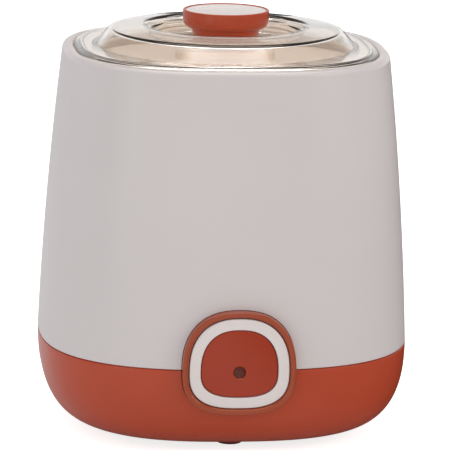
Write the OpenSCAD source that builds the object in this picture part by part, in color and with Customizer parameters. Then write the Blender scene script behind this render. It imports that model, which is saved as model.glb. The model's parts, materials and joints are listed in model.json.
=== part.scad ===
// Single-jar yogurt maker: a tapered soft-square housing on a round-bottomed base,
// a push button on the front, a removable jar in a warm well, and a clear lid with a grip.
// Millimetres. +Z up, the front faces -Y, the origin is on the table below the middle.

/* [Body] */
// Width of the housing at its widest, where it meets the base
body_w = 190; // [182:1:200]
// Outer width of the housing at its top edge
rim_w = 166.8; // [164:0.4:172]
// Height of the housing's top edge above the table
body_top = 195.6; // [190:0.2:215]
// Height of the seam between the base and the housing
seam_z = 47.2; // [44:0.1:48]
// How far the sides bow out from a straight taper
side_bow = 1.4; // [0:0.05:2]
// Squareness of the plan view: 2 is round, and more is squarer
squareness = 2.6; // [2.4:0.1:3]
// Wall thickness of the housing and the base
wall = 2.4; // [1.8:0.1:3]
// Rounding of the top edge
lip_r = 2.8; // [2:0.1:3.4]
// Width of the top edge, from the outside to the lid's opening
lip_w = 5.4; // [5:0.1:6]

/* [Base] */
// Width of the flat underside
base_flat_w = 130; // [126:1:140]
// Height of the underside above the table
foot_h = 4; // [3.4:0.1:4.4]
// Thickness of the base's floor
floor_t = 2.5; // [2:0.1:3.5]
// Fullness of the curve between the underside and the sides
base_round = 2.5; // [2.2:0.1:2.8]
// Height of the tongue that locates the housing on the base
tongue_h = 4; // [2:0.5:6]
// Thickness of that tongue
tongue_t = 1.6; // [1.2:0.1:2]

/* [Feet] */
// Diameter of a foot where it meets the underside
foot_d = 17; // [16:0.2:19]
// Diameter of a foot at its lower end
foot_end_d = 15.6; // [14.8:0.2:16]
// Distance of the feet from the middle
foot_at = 54.5; // [50:0.5:56]
// Diameter of the rubber pad in a foot
pad_d = 13; // [11:0.2:13.4]
// Thickness of the pad
pad_t = 2; // [1.6:0.1:2.4]
// How far the pad stands out of the foot
pad_out = 1; // [0.6:0.1:1.4]

/* [Housing screws] */
// Gap between the heater's retainer and the screw posts
post_gap = 2.2; // [1.8:0.1:2.6]
// Diameter of a screw tower
tower_d = 13; // [12.6:0.2:14]
// Diameter of the screw post under the well
post_d = 9; // [8.4:0.2:9.4]
// How far the posts reach down into the towers
post_nest = 10; // [6:1:14]
// Height of the tops of the towers
tower_top = 50; // [48:1:56]
// Thickness of the web in a tower that the screw pulls on
tower_web = 4; // [3:0.5:5]
// Thread diameter of a housing screw
screw_d = 3.9; // [3:0.1:4.2]
// Head diameter of a housing screw
screw_head_d = 7.6; // [7:0.2:8.4]
// Length of a housing screw under its head
screw_l = 24; // [18:1:26]

/* [Well] */
// Inner diameter of the well at its mouth
well_d = 138; // [136:0.5:139]
// Inner diameter of the well at its floor
well_floor_d = 134; // [132.6:0.2:136]
// Height of the top of the well's floor
well_floor_z = 72; // [71:0.5:76]
// Wall thickness of the well
well_wall = 2; // [1.6:0.1:2.2]
// Thickness of the well's floor
well_floor_t = 2.5; // [2.2:0.1:3]
// Thickness of the well's flange
flange_t = 1.8; // [1.4:0.1:2.4]
// Depth of the flange's top below the housing's top edge
seat_drop = 1.8; // [1.4:0.1:2.2]
// Thickness of the housing's ledge under the flange
ledge_t = 2; // [1.6:0.1:3]
// Width of that ledge
ledge_w = 3.5; // [3:0.1:4]

/* [Heater] */
// Diameter of the heating plate where it shows in the well's floor
plate_d = 99.4; // [94:0.2:101]
// Width of the plate's seating flange
plate_flange = 4.8; // [4:0.1:5]
// Thickness of the plate's metal
plate_t = 1.2; // [1:0.1:1.6]
// Thickness of the gasket between the plate and the well
gasket_t = 0.8; // [0.6:0.1:1.2]
// Thickness of the foil heater
heater_t = 1; // [0.8:0.1:1.2]
// Diameter of the hole in the heater, for the thermostat
heater_hole_d = 28; // [25:1:30]
// Thickness of the retainer's metal
retainer_t = 0.8; // [0.6:0.1:1.2]
// Gap between the plate's rim and the retainer's lugs
lug_gap = 1.9; // [1.6:0.1:2.3]
// Overhang of the retainer past the plate's rim
retainer_lip = 1; // [0.8:0.1:1.4]
// Radius of a retainer lug
lug_r = 3.6; // [3.4:0.1:4]
// Diameter of the thermostat
thermostat_d = 16; // [14:0.5:18]
// Height of the thermostat
thermostat_h = 7; // [6.5:0.5:8]
// Diameter of the thermal fuse
fuse_d = 4; // [3.6:0.1:4.2]
// Length of the thermal fuse
fuse_l = 11; // [10:0.5:14]

/* [Control panel] */
// Width of the bezel
panel_w = 57; // [56:0.5:60]
// Height of the bezel above its widest level
panel_up = 30.5; // [30:0.1:32]
// Depth of the bezel below its widest level
panel_down = 22.1; // [21.6:0.1:23]
// Height of the bezel's widest level above the table
panel_z = 47; // [46.5:0.5:48]
// How far the middle of the panel's dome stands out from the housing's widest line
panel_proud = 5; // [4.8:0.1:6]
// Width of the bezel's bead
bezel_band = 3.5; // [3.2:0.1:4]
// Width of the trim ring's band
ring_band = 5.8; // [5.6:0.1:6.2]
// Radius of the panel's domed front
panel_dome_r = 260; // [220:10:320]
// How far the trim ring's front lies behind the bezel's
ring_sink = 0.9; // [0.6:0.1:1.4]
// How far the button's front lies behind the bezel's
button_sink = 1.6; // [1.2:0.1:2]
// Travel of the button
button_travel = 2; // [1.5:0.1:2.4]
// Diameter of the indicator window
window_d = 6; // [5:0.2:6.4]
// Height of the window below the bezel's widest level
window_drop = 0.2; // [0:0.1:0.6]
// Height of the switch above the bezel's widest level
switch_up = 11; // [10.5:0.5:12]

/* [Cord inlet] */
// Diameter of the cord's hole through the gland
gland_bore_d = 7.2; // [6.4:0.1:7.6]
// Diameter of the gland's barrel
gland_d = 11; // [10.4:0.2:11.6]
// Diameter of the gland's collar
gland_collar_d = 17; // [16:0.5:19]
// Height of the gland above the table
gland_z = 34; // [33:0.5:35]

/* [Jar] */
// Gap between the jar's rim and the wall of the well
jar_gap = 1.2; // [0.8:0.1:2]
// Overhang of the jar's turned-out rim
jar_rim_w = 1.8; // [1.4:0.1:2.2]
// How much the jar's radius narrows from its rim to its foot
jar_taper = 3; // [1:0.5:4]
// Depth of the jar's rim below the top of the well
jar_drop = 7.5; // [7:0.5:10]
// Wall thickness of the jar
jar_wall = 1.8; // [1.5:0.1:2.5]
// Thickness of the jar cover
cover_t = 1.6; // [1.2:0.1:2]
// Length of the grip bar on the jar cover
grip_l = 52; // [44:1:58]
// Height of that grip bar
grip_h = 4.6; // [3.6:0.2:5]

/* [Clear lid] */
// Thickness of the clear lid
lid_t = 2; // [1.6:0.1:2.2]
// Thickness of the lid's outer edge
lid_edge_t = 1.8; // [1.4:0.1:2.2]
// Diameter of the lid's raised ring where it leaves the flat
dome_foot_d = 134; // [132:0.5:135]
// Diameter of the raised ring at its shoulder
shoulder_d = 120; // [116:0.5:122]
// Height of that shoulder above the flat
shoulder_h = 8; // [7.4:0.1:8.4]
// Height of the raised ring above the flat
dome_h = 10; // [9.4:0.2:11]
// Diameter of the finger recess at its top edge
recess_d = 80.6; // [78:0.2:84]
// Depth of the finger recess
recess_depth = 6.4; // [5.6:0.1:6.8]
// Height of the lid's flat above its edge
lid_step = 1.4; // [1:0.1:1.8]
// Width of the lid's edge outside that step
lid_edge_w = 2.3; // [1.8:0.1:2.8]

/* [Grip] */
// Diameter of the grip
knob_d = 44.4; // [42:0.2:48]
// Diameter of the grip's neck where it meets the lid
knob_neck_d = 33.4; // [30:0.2:34]
// Height of the grip's rim above the recess's floor
knob_h = 14.2; // [13:0.2:16]
// Wall thickness of the grip
knob_wall = 1.3; // [1.2:0.1:1.6]
// Depth of the cap's edge below the grip's rim
cap_sink = 0.4; // [0.2:0.1:0.8]
// Rise of the cap from its edge to its middle
cap_dome = 0.8; // [0.5:0.1:1.2]

/* [Fits] */
// Gap between fixed pieces that slide together
fit = 0.25; // [0.2:0.05:0.3]
// Gap between a piece that lifts out or travels and its seat
loose = 0.3; // [0.3:0.05:0.4]

/* [Hidden] */
$fn = 96;
facets = 64;
outline_facets = 56;
dome_facets = 720;
tiny = 0.01;

// Colours of the finishes
RED = [0.72, 0.20, 0.13];
WHITE = [0.90, 0.88, 0.87];
MILKY = [0.93, 0.92, 0.88];
STEEL = [0.70, 0.70, 0.72];
CLEAR = [0.93, 0.92, 0.90, 0.35];

// ---- Shape of the outside ----

function lerp(a, b, t) = a + (b - a) * t;

// Points of a soft square of half-width w, counter-clockwise from +X
function squircle(w, n = squareness, count = facets) = [
    for (i = [0 : count - 1])
        let (a = 360 * i / count,
             r = w * pow(pow(abs(cos(a)), n) + pow(abs(sin(a)), n), -1 / n))
        [r * cos(a), r * sin(a)]
];

body_r = body_w / 2;
rim_r = rim_w / 2;
flat_r = base_flat_w / 2;
floor_z = foot_h + floor_t;

// Half-width of the housing's outside at height z
function side_r(z) =
    let (t = (z - seam_z) / (body_top - seam_z))
    lerp(body_r, rim_r, t) + 4 * side_bow * t * (1 - t);

// Half-width and height on a base curve from [flat, low] to [wide, seam_z], a from 90 to 0
function base_curve(a, flat, wide, low) = [
    flat + (wide - flat) * pow(max(cos(a), 0), 2 / base_round),
    seam_z - (seam_z - low) * pow(sin(a), 2 / base_round)
];

// Height of the base's outside at half-width w
function base_height(w) =
    seam_z - (seam_z - foot_h)
        * pow(1 - pow((w - flat_r) / (body_r - flat_r), base_round), 1 / base_round);

// Triangles between rings of points, from ring first to ring last
function band_faces(first, last, count, rings) = [
    for (k = [first : last], i = [0 : count - 1], half = [0, 1])
        let (j = (i + 1) % count, up = (k + 1) % rings)
        half == 0 ? [k * count + i, up * count + i, up * count + j]
                  : [k * count + i, up * count + j, k * count + j]
];

// Points of soft-square rings, each given as [half-width, height]
function ring_points(profile) = [
    for (p = profile, q = squircle(p[0])) [q[0], q[1], p[1]]
];

// A closed wall whose cross-section is the profile, taken round the soft square
module soft_square_wall(profile) {
    rings = len(profile);
    polyhedron(ring_points(profile), band_faces(0, rings - 1, facets, rings));
}

// A bowl: the profile runs up its outside and down its inside, and both ends are closed flat
module soft_square_bowl(profile) {
    rings = len(profile);
    polyhedron(
        ring_points(profile),
        concat(
            band_faces(0, rings - 2, facets, rings),
            [[for (i = [0 : facets - 1]) i]],
            [[for (i = [facets - 1 : -1 : 0]) (rings - 1) * facets + i]]
        )
    );
}

module soft_square_plate(w, low, high)
    translate([0, 0, low])
        linear_extrude(high - low)
            polygon(squircle(w));

// A cylinder between two heights
module post(d, low, high, at = [0, 0])
    translate([at[0], at[1], low])
        cylinder(d = d, h = high - low);

// A cylinder along Y between two depths
module rod_y(d, from, to, x = 0, z = 0)
    translate([x, from, z])
        rotate([-90, 0, 0])
            cylinder(d = d, h = to - from);

// A block given by its two corners
module block(low, high)
    translate(low)
        cube(high - low);

// ---- Heights worked out from the sizes above ----

open_r = rim_r - lip_w;                       // half-width of the lid's opening
seat_z = body_top - seat_drop;                // top of the well's flange
ledge_z = seat_z - flange_t;                  // top of the housing's ledge
ledge_low = ledge_z - ledge_t;
ledge_r = open_r - ledge_w;
well_low = well_floor_z - well_floor_t;       // underside of the well's floor
tongue_r = side_r(seam_z + tongue_h) - wall - loose;

// ---- Base and housing ----

plate_rim_r = plate_d / 2 + plate_flange;
retainer_r = plate_rim_r + retainer_lip;
tower_at = (retainer_r + post_gap + post_d / 2) / sqrt(2);
tower_spots = [for (x = [-1, 1], y = [-1, 1]) [x * tower_at, y * tower_at]];
foot_spots = [for (a = [0 : 90 : 270]) [foot_at * cos(a), foot_at * sin(a)]];
web_low = tower_top - post_nest - tower_web;
inlet_y = body_r + 0.3;                       // flat face that the gland's collar sits on
inlet_depth = 6;
tongue_root = 3;                              // the tongue thickens the wall this far below the seam
rib_x = 9;                                    // two slotted ribs carry the control frame's legs
rib_t = 3;
rib_out = 2.5;                                // how far a rib reaches in front of and behind the frame
rib_web = 2;                                  // thickness of each rib under its slot
slot_depth = 6;

// The base from the middle of its underside, up the outside, over the tongue and down the inside
base_profile = concat(
    [for (a = [90 : -9 : 0]) base_curve(a, flat_r, body_r, foot_h)],
    [[tongue_r, seam_z],
     [tongue_r, seam_z + tongue_h],
     [tongue_r - tongue_t, seam_z + tongue_h],
     [tongue_r - tongue_t, seam_z - tongue_root],
     [body_r - wall, seam_z - 2 * tongue_root]],
    [for (a = [15 : 12.5 : 90]) base_curve(a, flat_r - 1, body_r - wall, floor_z)]
);

// A foot that widens from its lower end to the underside
module foot(at) {
    translate([at[0], at[1], pad_out])
        cylinder(d1 = foot_end_d, d2 = foot_d, h = foot_h - pad_out);
    post(foot_d, foot_h - tiny, floor_z - tiny, at);
}

module base_shell() {
    color(RED)
    difference() {
        union() {
            soft_square_bowl(base_profile);
            for (p = tower_spots) post(tower_d, foot_h + tiny, tower_top, p);
            for (p = foot_spots) foot(p);
            rod_y(gland_collar_d + 3, inlet_y - inlet_depth, inlet_y, z = gland_z);
            for (x = [-1, 1])
                block([x * rib_x - rib_t / 2, frame_y - rib_out, rib_low],
                      [x * rib_x + rib_t / 2, frame_back + rib_out, rib_top]);
        }
        block([-rib_x - rib_t, frame_y - fit, slot_floor], [rib_x + rib_t, frame_back + fit, rib_top + 1]);
        for (p = tower_spots) {
            post(screw_head_d + 1.2, -1, web_low, p);
            post(screw_d + 0.6, -1, tower_top + 1, p);
            post(post_d + 2 * fit, web_low + tower_web, tower_top + 1, p);
        }
        for (p = foot_spots) post(pad_d + 2 * fit, -1, pad_t, p);
        rod_y(gland_d + 2 * fit, inlet_y - inlet_depth - 5, inlet_y + 5, z = gland_z);
        panel_hole();
    }
}

lip_low = body_top - lip_r;

// The housing from its lower edge, up the outside, over the lip, round the ledge and down the inside
body_profile = concat(
    [for (t = [0 : 0.125 : 1]) let (z = lerp(seam_z, lip_low, t)) [side_r(z), z]],
    [for (a = [22.5 : 22.5 : 90])
        [side_r(lip_low) - lip_r * (1 - cos(a)), lip_low + lip_r * sin(a)]],
    [[open_r + 0.8, body_top], [open_r + 0.2, body_top - 0.25], [open_r, body_top - 0.8],
     [open_r, ledge_z], [ledge_r, ledge_z], [ledge_r, ledge_low]],
    [for (t = [1 : -0.2 : 0]) let (z = lerp(seam_z, ledge_low, t)) [side_r(z) - wall, z]]
);

module body_shell() {
    color(WHITE)
    difference() {
        soft_square_wall(body_profile);
        panel_hole();
    }
}

module foot_pads() {
    color([0.16, 0.15, 0.15])
    for (p = foot_spots) post(pad_d, 0, pad_t, p);
}

module housing_screws() {
    color(STEEL)
    for (p = tower_spots) {
        post(screw_head_d, web_low - 2.6, web_low, p);
        post(screw_d, web_low - tiny, web_low + screw_l, p);
    }
}

// ---- Well ----

post_low = web_low + tower_web + fit;
well_mouth_r = well_d / 2;
well_foot_r = well_floor_d / 2;
well_round = 3;
lug_at = plate_rim_r + lug_gap + lug_r;
lug_spots = [for (a = [90, 210, 330]) [lug_at * cos(a), lug_at * sin(a)]];
plate_hole_r = plate_d / 2 + fit;
plate_flange_z = well_low - gasket_t;         // top of the plate's seating flange
retainer_z = plate_flange_z - plate_t;        // top of the retainer

// A quarter round of radius r about [x, z], from angle a0 to a1
function arc(x, z, r, a0, a1, steps = 4) = [
    for (i = [0 : steps]) let (a = lerp(a0, a1, i / steps)) [x + r * cos(a), z + r * sin(a)]
];

module well_liner() {
    color(WHITE)
    difference() {
        union() {
            soft_square_plate(open_r - loose, ledge_z, seat_z);
            rotate_extrude()
                polygon(concat(
                    [[0, seat_z - tiny], [0, well_low]],
                    arc(well_foot_r + well_wall - well_round, well_low + well_round, well_round, -90, 0),
                    [[well_mouth_r + well_wall, ledge_z], [well_mouth_r + well_wall, seat_z - tiny]]
                ));
            for (p = tower_spots) post(post_d, post_low, well_low + 1, p);
            for (p = lug_spots) post(2 * lug_r, retainer_z, well_low + 1, p);
        }
        rotate_extrude()
            polygon(concat(
                [[0, seat_z + 1], [0, well_floor_z]],
                arc(well_foot_r - well_round, well_floor_z + well_round, well_round, -90, 0),
                arc(well_mouth_r + 1.2, seat_z - 1.2, 1.2, 180, 90),
                [[well_mouth_r + 1.2, seat_z + 1]]
            ));
        post(2 * plate_hole_r, well_low - 1, well_floor_z + 1);
        for (p = tower_spots) post(screw_d + 0.1, post_low - 1, web_low + screw_l + 0.5, p);
        for (p = lug_spots) post(small_screw_d + 0.1, retainer_z - 1, well_floor_z - 0.8, p);
    }
}

// ---- Heater ----

small_screw_d = 2.6;
small_head_d = 5.2;
small_head_h = 1.7;
heater_r = plate_d / 2 - plate_t - 1;
heater_z = well_floor_z - plate_t;            // underside of the plate's top
insulator_z = heater_z - heater_t;
retainer_low = retainer_z - retainer_t;
lead_d = 2;
lead_hole_d = 6;
heater_tabs = [[26, -8], [26, 10]];
strap_w = 7;
strap_at = 19;

module plate_gasket() {
    color([0.75, 0.75, 0.72])
    difference() {
        post(2 * plate_rim_r, plate_flange_z, well_low);
        post(2 * plate_hole_r + 0.5, plate_flange_z - 1, well_low + 1);
    }
}

module heating_plate() {
    color([0.78, 0.78, 0.80])
    rotate_extrude()
        polygon(concat(
            [[0, well_floor_z - plate_t], [0, well_floor_z]],
            arc(plate_d / 2 - 1, well_floor_z - 1, 1, 90, 0),
            [[plate_d / 2, plate_flange_z], [plate_rim_r, plate_flange_z],
             [plate_rim_r, retainer_z], [plate_d / 2 - plate_t, retainer_z],
             [plate_d / 2 - plate_t, well_floor_z - plate_t]]
        ));
}

module heater_disc(low, high, hole_d) {
    difference() {
        post(2 * heater_r, low, high);
        post(hole_d, low - 1, high + 1);
    }
}

module foil_heater() {
    color([0.72, 0.42, 0.18])
    heater_disc(insulator_z, heater_z, heater_hole_d);
}

module heater_insulator() {
    color([0.86, 0.82, 0.72])
    difference() {
        heater_disc(retainer_z, insulator_z, heater_hole_d);
        for (p = heater_tabs) post(lead_hole_d, retainer_z - 1, insulator_z + 1, p);
    }
}

module heater_retainer() {
    color(STEEL)
    difference() {
        union() {
            post(2 * retainer_r, retainer_low, retainer_z);
            for (p = lug_spots) post(2 * lug_r, retainer_low, retainer_z, p);
            for (p = lug_spots) post(2 * lug_r, retainer_low, retainer_z, p * (1 - lug_gap / lug_at));
        }
        post(heater_hole_d - 2, retainer_low - 1, retainer_z + 1);
        for (p = heater_tabs) post(lead_hole_d, retainer_low - 1, retainer_z + 1, p);
        for (p = lug_spots) post(small_screw_d + 0.4, retainer_low - 1, retainer_z + 1, p);
        for (y = [-1, 1]) post(1.7, retainer_low - 1, retainer_z + 1, [0, y * strap_at]);
        post(1.7, retainer_low - 1, retainer_z + 1, fuse_rivet);
    }
}

module retainer_screws() {
    color(STEEL)
    for (p = lug_spots) {
        post(small_head_d, retainer_low - small_head_h, retainer_low, p);
        post(small_screw_d, retainer_low - tiny, well_floor_z - 1, p);
    }
}

thermostat_low = heater_z - thermostat_h;
strap_t = 0.8;
blade_l = 6;
blade_x = 6;
blade_low = thermostat_low - blade_l;

module thermostat() {
    color([0.16, 0.14, 0.13])
    union() {
        post(thermostat_d, thermostat_low, heater_z);
        for (x = [-1, 1])
            block([x * blade_x - 0.5, -2, blade_low], [x * blade_x + 0.5, 2, thermostat_low + tiny]);
    }
}

// A hat-shaped strap that presses the thermostat against the plate
module thermostat_strap() {
    leg = strap_at - 4;
    color(STEEL)
    difference() {
        translate([-strap_w / 2, 0, 0])
            rotate([90, 0, 90])
                linear_extrude(strap_w)
                    polygon([
                        [-strap_at - 3, retainer_low], [-strap_at - 3, retainer_low - strap_t],
                        [-leg - strap_t, retainer_low - strap_t],
                        [-leg + 3 * strap_t, thermostat_low - strap_t],
                        [leg - 3 * strap_t, thermostat_low - strap_t],
                        [leg + strap_t, retainer_low - strap_t],
                        [strap_at + 3, retainer_low - strap_t], [strap_at + 3, retainer_low],
                        [leg, retainer_low], [leg - 4 * strap_t, thermostat_low],
                        [4 * strap_t - leg, thermostat_low], [-leg, retainer_low]
                    ]);
        for (y = [-1, 1]) post(1.7, retainer_low - 2, retainer_low + 1, [0, y * strap_at]);
    }
}

fuse_edge = 15.7;                             // the fuse lies this far in from the plate's edge
fuse_at = [0, fuse_edge - plate_d / 2];
fuse_z = retainer_low - fuse_d / 2 - fit;
fuse_rivet = fuse_at + [0, -fuse_d / 2 - 3.4];

// A rivet through a sheet at [x, y], from under the sheet to just above the retainer
module rivet(low, at) {
    post(1.6, low - tiny, retainer_z, at);
    post(3, low - 0.6, low, at);
}

module strap_rivets() {
    color(STEEL) {
        for (y = [-1, 1]) rivet(retainer_low - strap_t, [0, y * strap_at]);
        rivet(retainer_low - 0.6, fuse_rivet);
    }
}

module thermal_fuse() {
    color([0.80, 0.78, 0.74])
    translate([fuse_at[0] - fuse_l / 2, fuse_at[1], fuse_z])
        rotate([0, 90, 0])
            cylinder(d = fuse_d, h = fuse_l);
}

// A sheet clip that wraps under the fuse and is riveted to the retainer beside it
module fuse_clip() {
    clip_w = 4;
    r_in = fuse_d / 2 + fit;
    r_out = r_in + 0.6;
    color(STEEL)
    difference() {
        union() {
            translate([-clip_w / 2, fuse_at[1], fuse_z])
                rotate([90, 0, 90])
                    cylinder(r = r_out, h = clip_w);
            block([-clip_w / 2, fuse_rivet[1] - 2, retainer_low - 0.6],
                  [clip_w / 2, fuse_at[1], retainer_low]);
        }
        translate([-clip_w / 2 - 1, fuse_at[1], fuse_z])
            rotate([90, 0, 90])
                cylinder(r = r_in, h = clip_w + 2);
        block([-clip_w, fuse_at[1], fuse_z - tiny], [clip_w, fuse_at[1] + 2 * r_out, fuse_z + 2 * r_out]);
        block([-clip_w, fuse_at[1] - 2 * r_out, retainer_low], [clip_w, fuse_at[1] + 1, retainer_z]);
        post(1.7, retainer_low - 2, retainer_low + 1, fuse_rivet);
    }
}

// ---- Control panel ----

upper_square = 2.4;
lower_square = 2.75;
face_y = -body_r;                             // the housing's widest line, at the front
panel_front = face_y - panel_proud;           // the middle of the panel's dome
shelf_y = face_y + 2;                         // front of the shelf behind the trim ring
shelf_t = 2;
shelf_back = shelf_y + shelf_t;
snap_y = face_y + 7.4;                        // front of the rim that holds the bezel from inside
snap_t = 2;
snap_w = 2.5;
frame_y = face_y + 11;                        // front of the control frame
frame_t = 2;
frame_back = frame_y + frame_t;
bezel_wall = 2.2;
rib_low = base_height(rib_out - frame_y) + wall / 2;
slot_floor = rib_low + rib_web;               // the control frame's legs stand at this height
rib_top = slot_floor + slot_depth;
panel_mid = panel_z + (panel_up - panel_down) / 2;
window_z = panel_z - window_drop;
switch_z = panel_z + switch_up;
button_inset = bezel_band + ring_band;

// Depth of the panel's dome below its middle, at distance d from the middle
function dome_drop(d) = panel_dome_r - sqrt(panel_dome_r * panel_dome_r - d * d);

// The point at angle a on the panel's outline drawn in by inset: [x, height above its widest level]
function panel_point(a, inset) =
    let (upper = sin(a) >= 0,
         n = upper ? upper_square : lower_square,
         w = panel_w / 2 - inset,
         h = (upper ? panel_up : panel_down) - inset,
         r = pow(pow(abs(cos(a)) / w, n) + pow(abs(sin(a)) / h, n), -1 / n))
    [r * cos(a), r * sin(a)];

// A straight block with the panel's outline, between two depths
module panel_prism(inset, from, to)
    translate([0, to, panel_z])
        rotate([90, 0, 0])
            linear_extrude(to - from)
                polygon([for (i = [0 : outline_facets - 1]) panel_point(360 * i / outline_facets, inset)]);

// The ball whose front touches depth from
module dome(from)
    translate([0, from + panel_dome_r, panel_mid])
        sphere(r = panel_dome_r, $fn = dome_facets);

// The panel's block with a domed front
module domed_prism(inset, from, to)
    intersection() {
        panel_prism(inset, from - 1, to);
        dome(from);
    }

module panel_hole() panel_prism(-fit, panel_front - 5, frame_back + 5);

// Where the screws of the control frame sit, behind the trim ring's band
frame_spots = [for (a = [52, 128, 220, 320]) panel_point(a, bezel_band + ring_band / 2) + [0, panel_z]];
boss_d = 5;
frame_screw_d = 2.4;
frame_screw_in = 5;                           // length of a frame screw in its boss
frame_head_d = 4.4;
frame_head_h = 1.6;

module control_bezel() {
    color(RED)
    difference() {
        union() {
            difference() {
                union() {
                    domed_prism(0, panel_front, frame_y);
                    panel_prism(-snap_w, snap_y, snap_y + snap_t);
                }
                panel_prism(bezel_band - fit, panel_front - 5, shelf_y);
                panel_prism(button_inset - fit - loose, panel_front - 5, frame_y + 1);
                panel_prism(bezel_wall, shelf_back, frame_y + 1);
            }
            for (p = frame_spots) rod_y(boss_d, shelf_back - tiny, frame_y, p[0], p[1]);
        }
        for (p = frame_spots) rod_y(frame_screw_d + 0.1, shelf_back + 1.5, frame_y + 1, p[0], p[1]);
    }
}

module trim_ring() {
    color(WHITE)
    difference() {
        domed_prism(bezel_band, panel_front + ring_sink, shelf_y);
        panel_prism(button_inset - loose, panel_front - 5, shelf_y + 5);
    }
}

button_front = panel_front + button_sink;
button_inner = button_front + 2.2;
skirt_t = 1.5;
skirt_back = shelf_back + loose;              // the button's lugs stop here against the shelf
lug_t = 1.5;
stem_back = face_y + 9;
stem_d = 5.2;

module power_button() {
    color(RED)
    difference() {
        union() {
            difference() {
                domed_prism(button_inset, button_front, skirt_back + lug_t);
                panel_prism(button_inset + skirt_t, button_inner, skirt_back + lug_t + 1);
            }
            for (x = [-1, 1])
                block([x * (panel_w / 2 - button_inset) - 1.8, skirt_back, panel_z - 3],
                      [x * (panel_w / 2 - button_inset) + 1.8, skirt_back + lug_t, panel_z + 3]);
            rod_y(stem_d, button_inner - tiny, stem_back, z = switch_z);
        }
        rod_y(window_d + 0.1, button_front - 2, button_inner + 2, z = window_z);
    }
}

window_back = face_y + 6.5;

module indicator_window() {
    color([0.20, 0.08, 0.05])
    union() {
        intersection() {
            rod_y(window_d, button_front - 2, window_back, z = window_z);
            dome(button_front);
        }
        rod_y(window_d + 1.6, button_inner, button_inner + 0.8, z = window_z);
    }
}

spring_wire = 0.6;
spring_r = 4;
spring_turns = 5;

// The coil runs from the button's inner face to the control frame
spring_path = [
    for (i = [0 : spring_turns * 12])
        let (t = i / (spring_turns * 12), a = 360 * spring_turns * t)
        [spring_r * cos(a),
         lerp(button_inner + spring_wire / 2 + tiny, frame_y - spring_wire / 2 - tiny, t),
         switch_z + spring_r * sin(a)]
];

module button_spring() {
    color(STEEL)
    tube(spring_path, spring_wire, sides = 6, side = [0, 1, 0]);
}

plunger_d = 4;
plunger_back = frame_back + 3;
switch_w = 12;
switch_front = frame_back + 0.3;

module switch_plunger() {
    color([0.90, 0.90, 0.90])
    rod_y(plunger_d, stem_back, plunger_back, z = switch_z);
}

module power_switch() {
    color([0.12, 0.12, 0.13])
    difference() {
        block([-switch_w / 2, switch_front, switch_z - switch_w / 2],
              [switch_w / 2, board_y, switch_z + switch_w / 2]);
        rod_y(plunger_d + 2 * loose, switch_front - 1, plunger_back + button_travel + 0.5, z = switch_z);
    }
}

standoff_x = 15;
standoff_z = panel_z + 1;
standoff_d = 6;
lamp_d = 5;

module control_frame() {
    color([0.78, 0.78, 0.78])
    difference() {
        union() {
            panel_prism(1, frame_y, frame_back);
            block([-rib_x - rib_t, frame_y, slot_floor], [rib_x + rib_t, frame_back, panel_z]);
            for (x = [-1, 1])
                rod_y(standoff_d, frame_back - tiny, board_y, x * standoff_x, standoff_z);
        }
        rod_y(stem_d + 0.8, frame_y - 1, frame_back + 1, z = switch_z);
        rod_y(lamp_d + 2 * fit, frame_y - 1, frame_back + 1, z = window_z);
        for (p = frame_spots) rod_y(frame_screw_d + 0.6, frame_y - 1, frame_back + 1, p[0], p[1]);
        for (x = [-1, 1])
            rod_y(board_screw_d + 0.1, board_y - board_screw_in - 1, board_y + 1,
                  x * standoff_x, standoff_z);
    }
}

module frame_screws() {
    color(STEEL)
    for (p = frame_spots) {
        rod_y(frame_screw_d, frame_y - frame_screw_in, frame_back + tiny, p[0], p[1]);
        rod_y(frame_head_d, frame_back, frame_back + frame_head_h, p[0], p[1]);
    }
}

board_screw_d = 2.2;
board_half_h = 19;
board_half_w = 20;
board_screw_in = 6;                           // length of a board screw in its standoff
board_head_d = 4;
board_head_h = 1.5;

module control_board() {
    color([0.10, 0.36, 0.20])
    difference() {
        block([-board_half_w, board_y, panel_z - board_half_h],
              [board_half_w, board_back, panel_z + board_half_h]);
        for (x = [-1, 1])
            rod_y(board_screw_d + 0.5, board_y - 1, board_back + 1, x * standoff_x, standoff_z);
    }
}

module board_screws() {
    color(STEEL)
    for (x = [-1, 1]) {
        rod_y(board_screw_d, board_y - board_screw_in, board_back + tiny, x * standoff_x, standoff_z);
        rod_y(board_head_d, board_back, board_back + board_head_h, x * standoff_x, standoff_z);
    }
}

capacitor_d = 8;
capacitor_h = 9;
rectifier = [8, 4, 8];
resistor_d = 2.6;
resistor_l = 8;
resistor_pitch = 4;

// A capacitor, a rectifier and two resistors on the back of the board
module board_components() {
    upper = panel_z + board_half_h - capacitor_d;
    color([0.22, 0.24, 0.30]) {
        rod_y(capacitor_d, board_back, board_back + capacitor_h, capacitor_d, upper);
        translate([-capacitor_d - rectifier[0] / 2, board_back, upper - rectifier[2] / 2])
            cube(rectifier);
        for (k = [1, 2])
            translate([-resistor_l / 2, board_back + resistor_d / 2, panel_z - k * resistor_pitch])
                rotate([0, 90, 0])
                    cylinder(d = resistor_d, h = resistor_l);
    }
}

// A round-nosed lamp that stands on the board and looks at the window
module indicator_lamp() {
    lamp_tip = frame_y + 0.5;
    color([0.85, 0.25, 0.20])
    union() {
        rod_y(lamp_d, lamp_tip + lamp_d / 2, board_y, z = window_z);
        translate([0, lamp_tip + lamp_d / 2, window_z]) sphere(d = lamp_d);
    }
}

// ---- Cord inlet and wiring ----

// The gland reaches as far back as the bezel does forward
gland_end = -panel_front - dome_drop((panel_up + panel_down) / 2 - bezel_band);
gland_in = inlet_y - inlet_depth - 3;

module cord_gland() {
    color([0.18, 0.17, 0.17])
    difference() {
        union() {
            rod_y(gland_collar_d, inlet_y, gland_end, z = gland_z);
            rod_y(gland_d, gland_in, inlet_y + tiny, z = gland_z);
        }
        rod_y(gland_bore_d, gland_in - 1, gland_end + 1, z = gland_z);
    }
}

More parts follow.
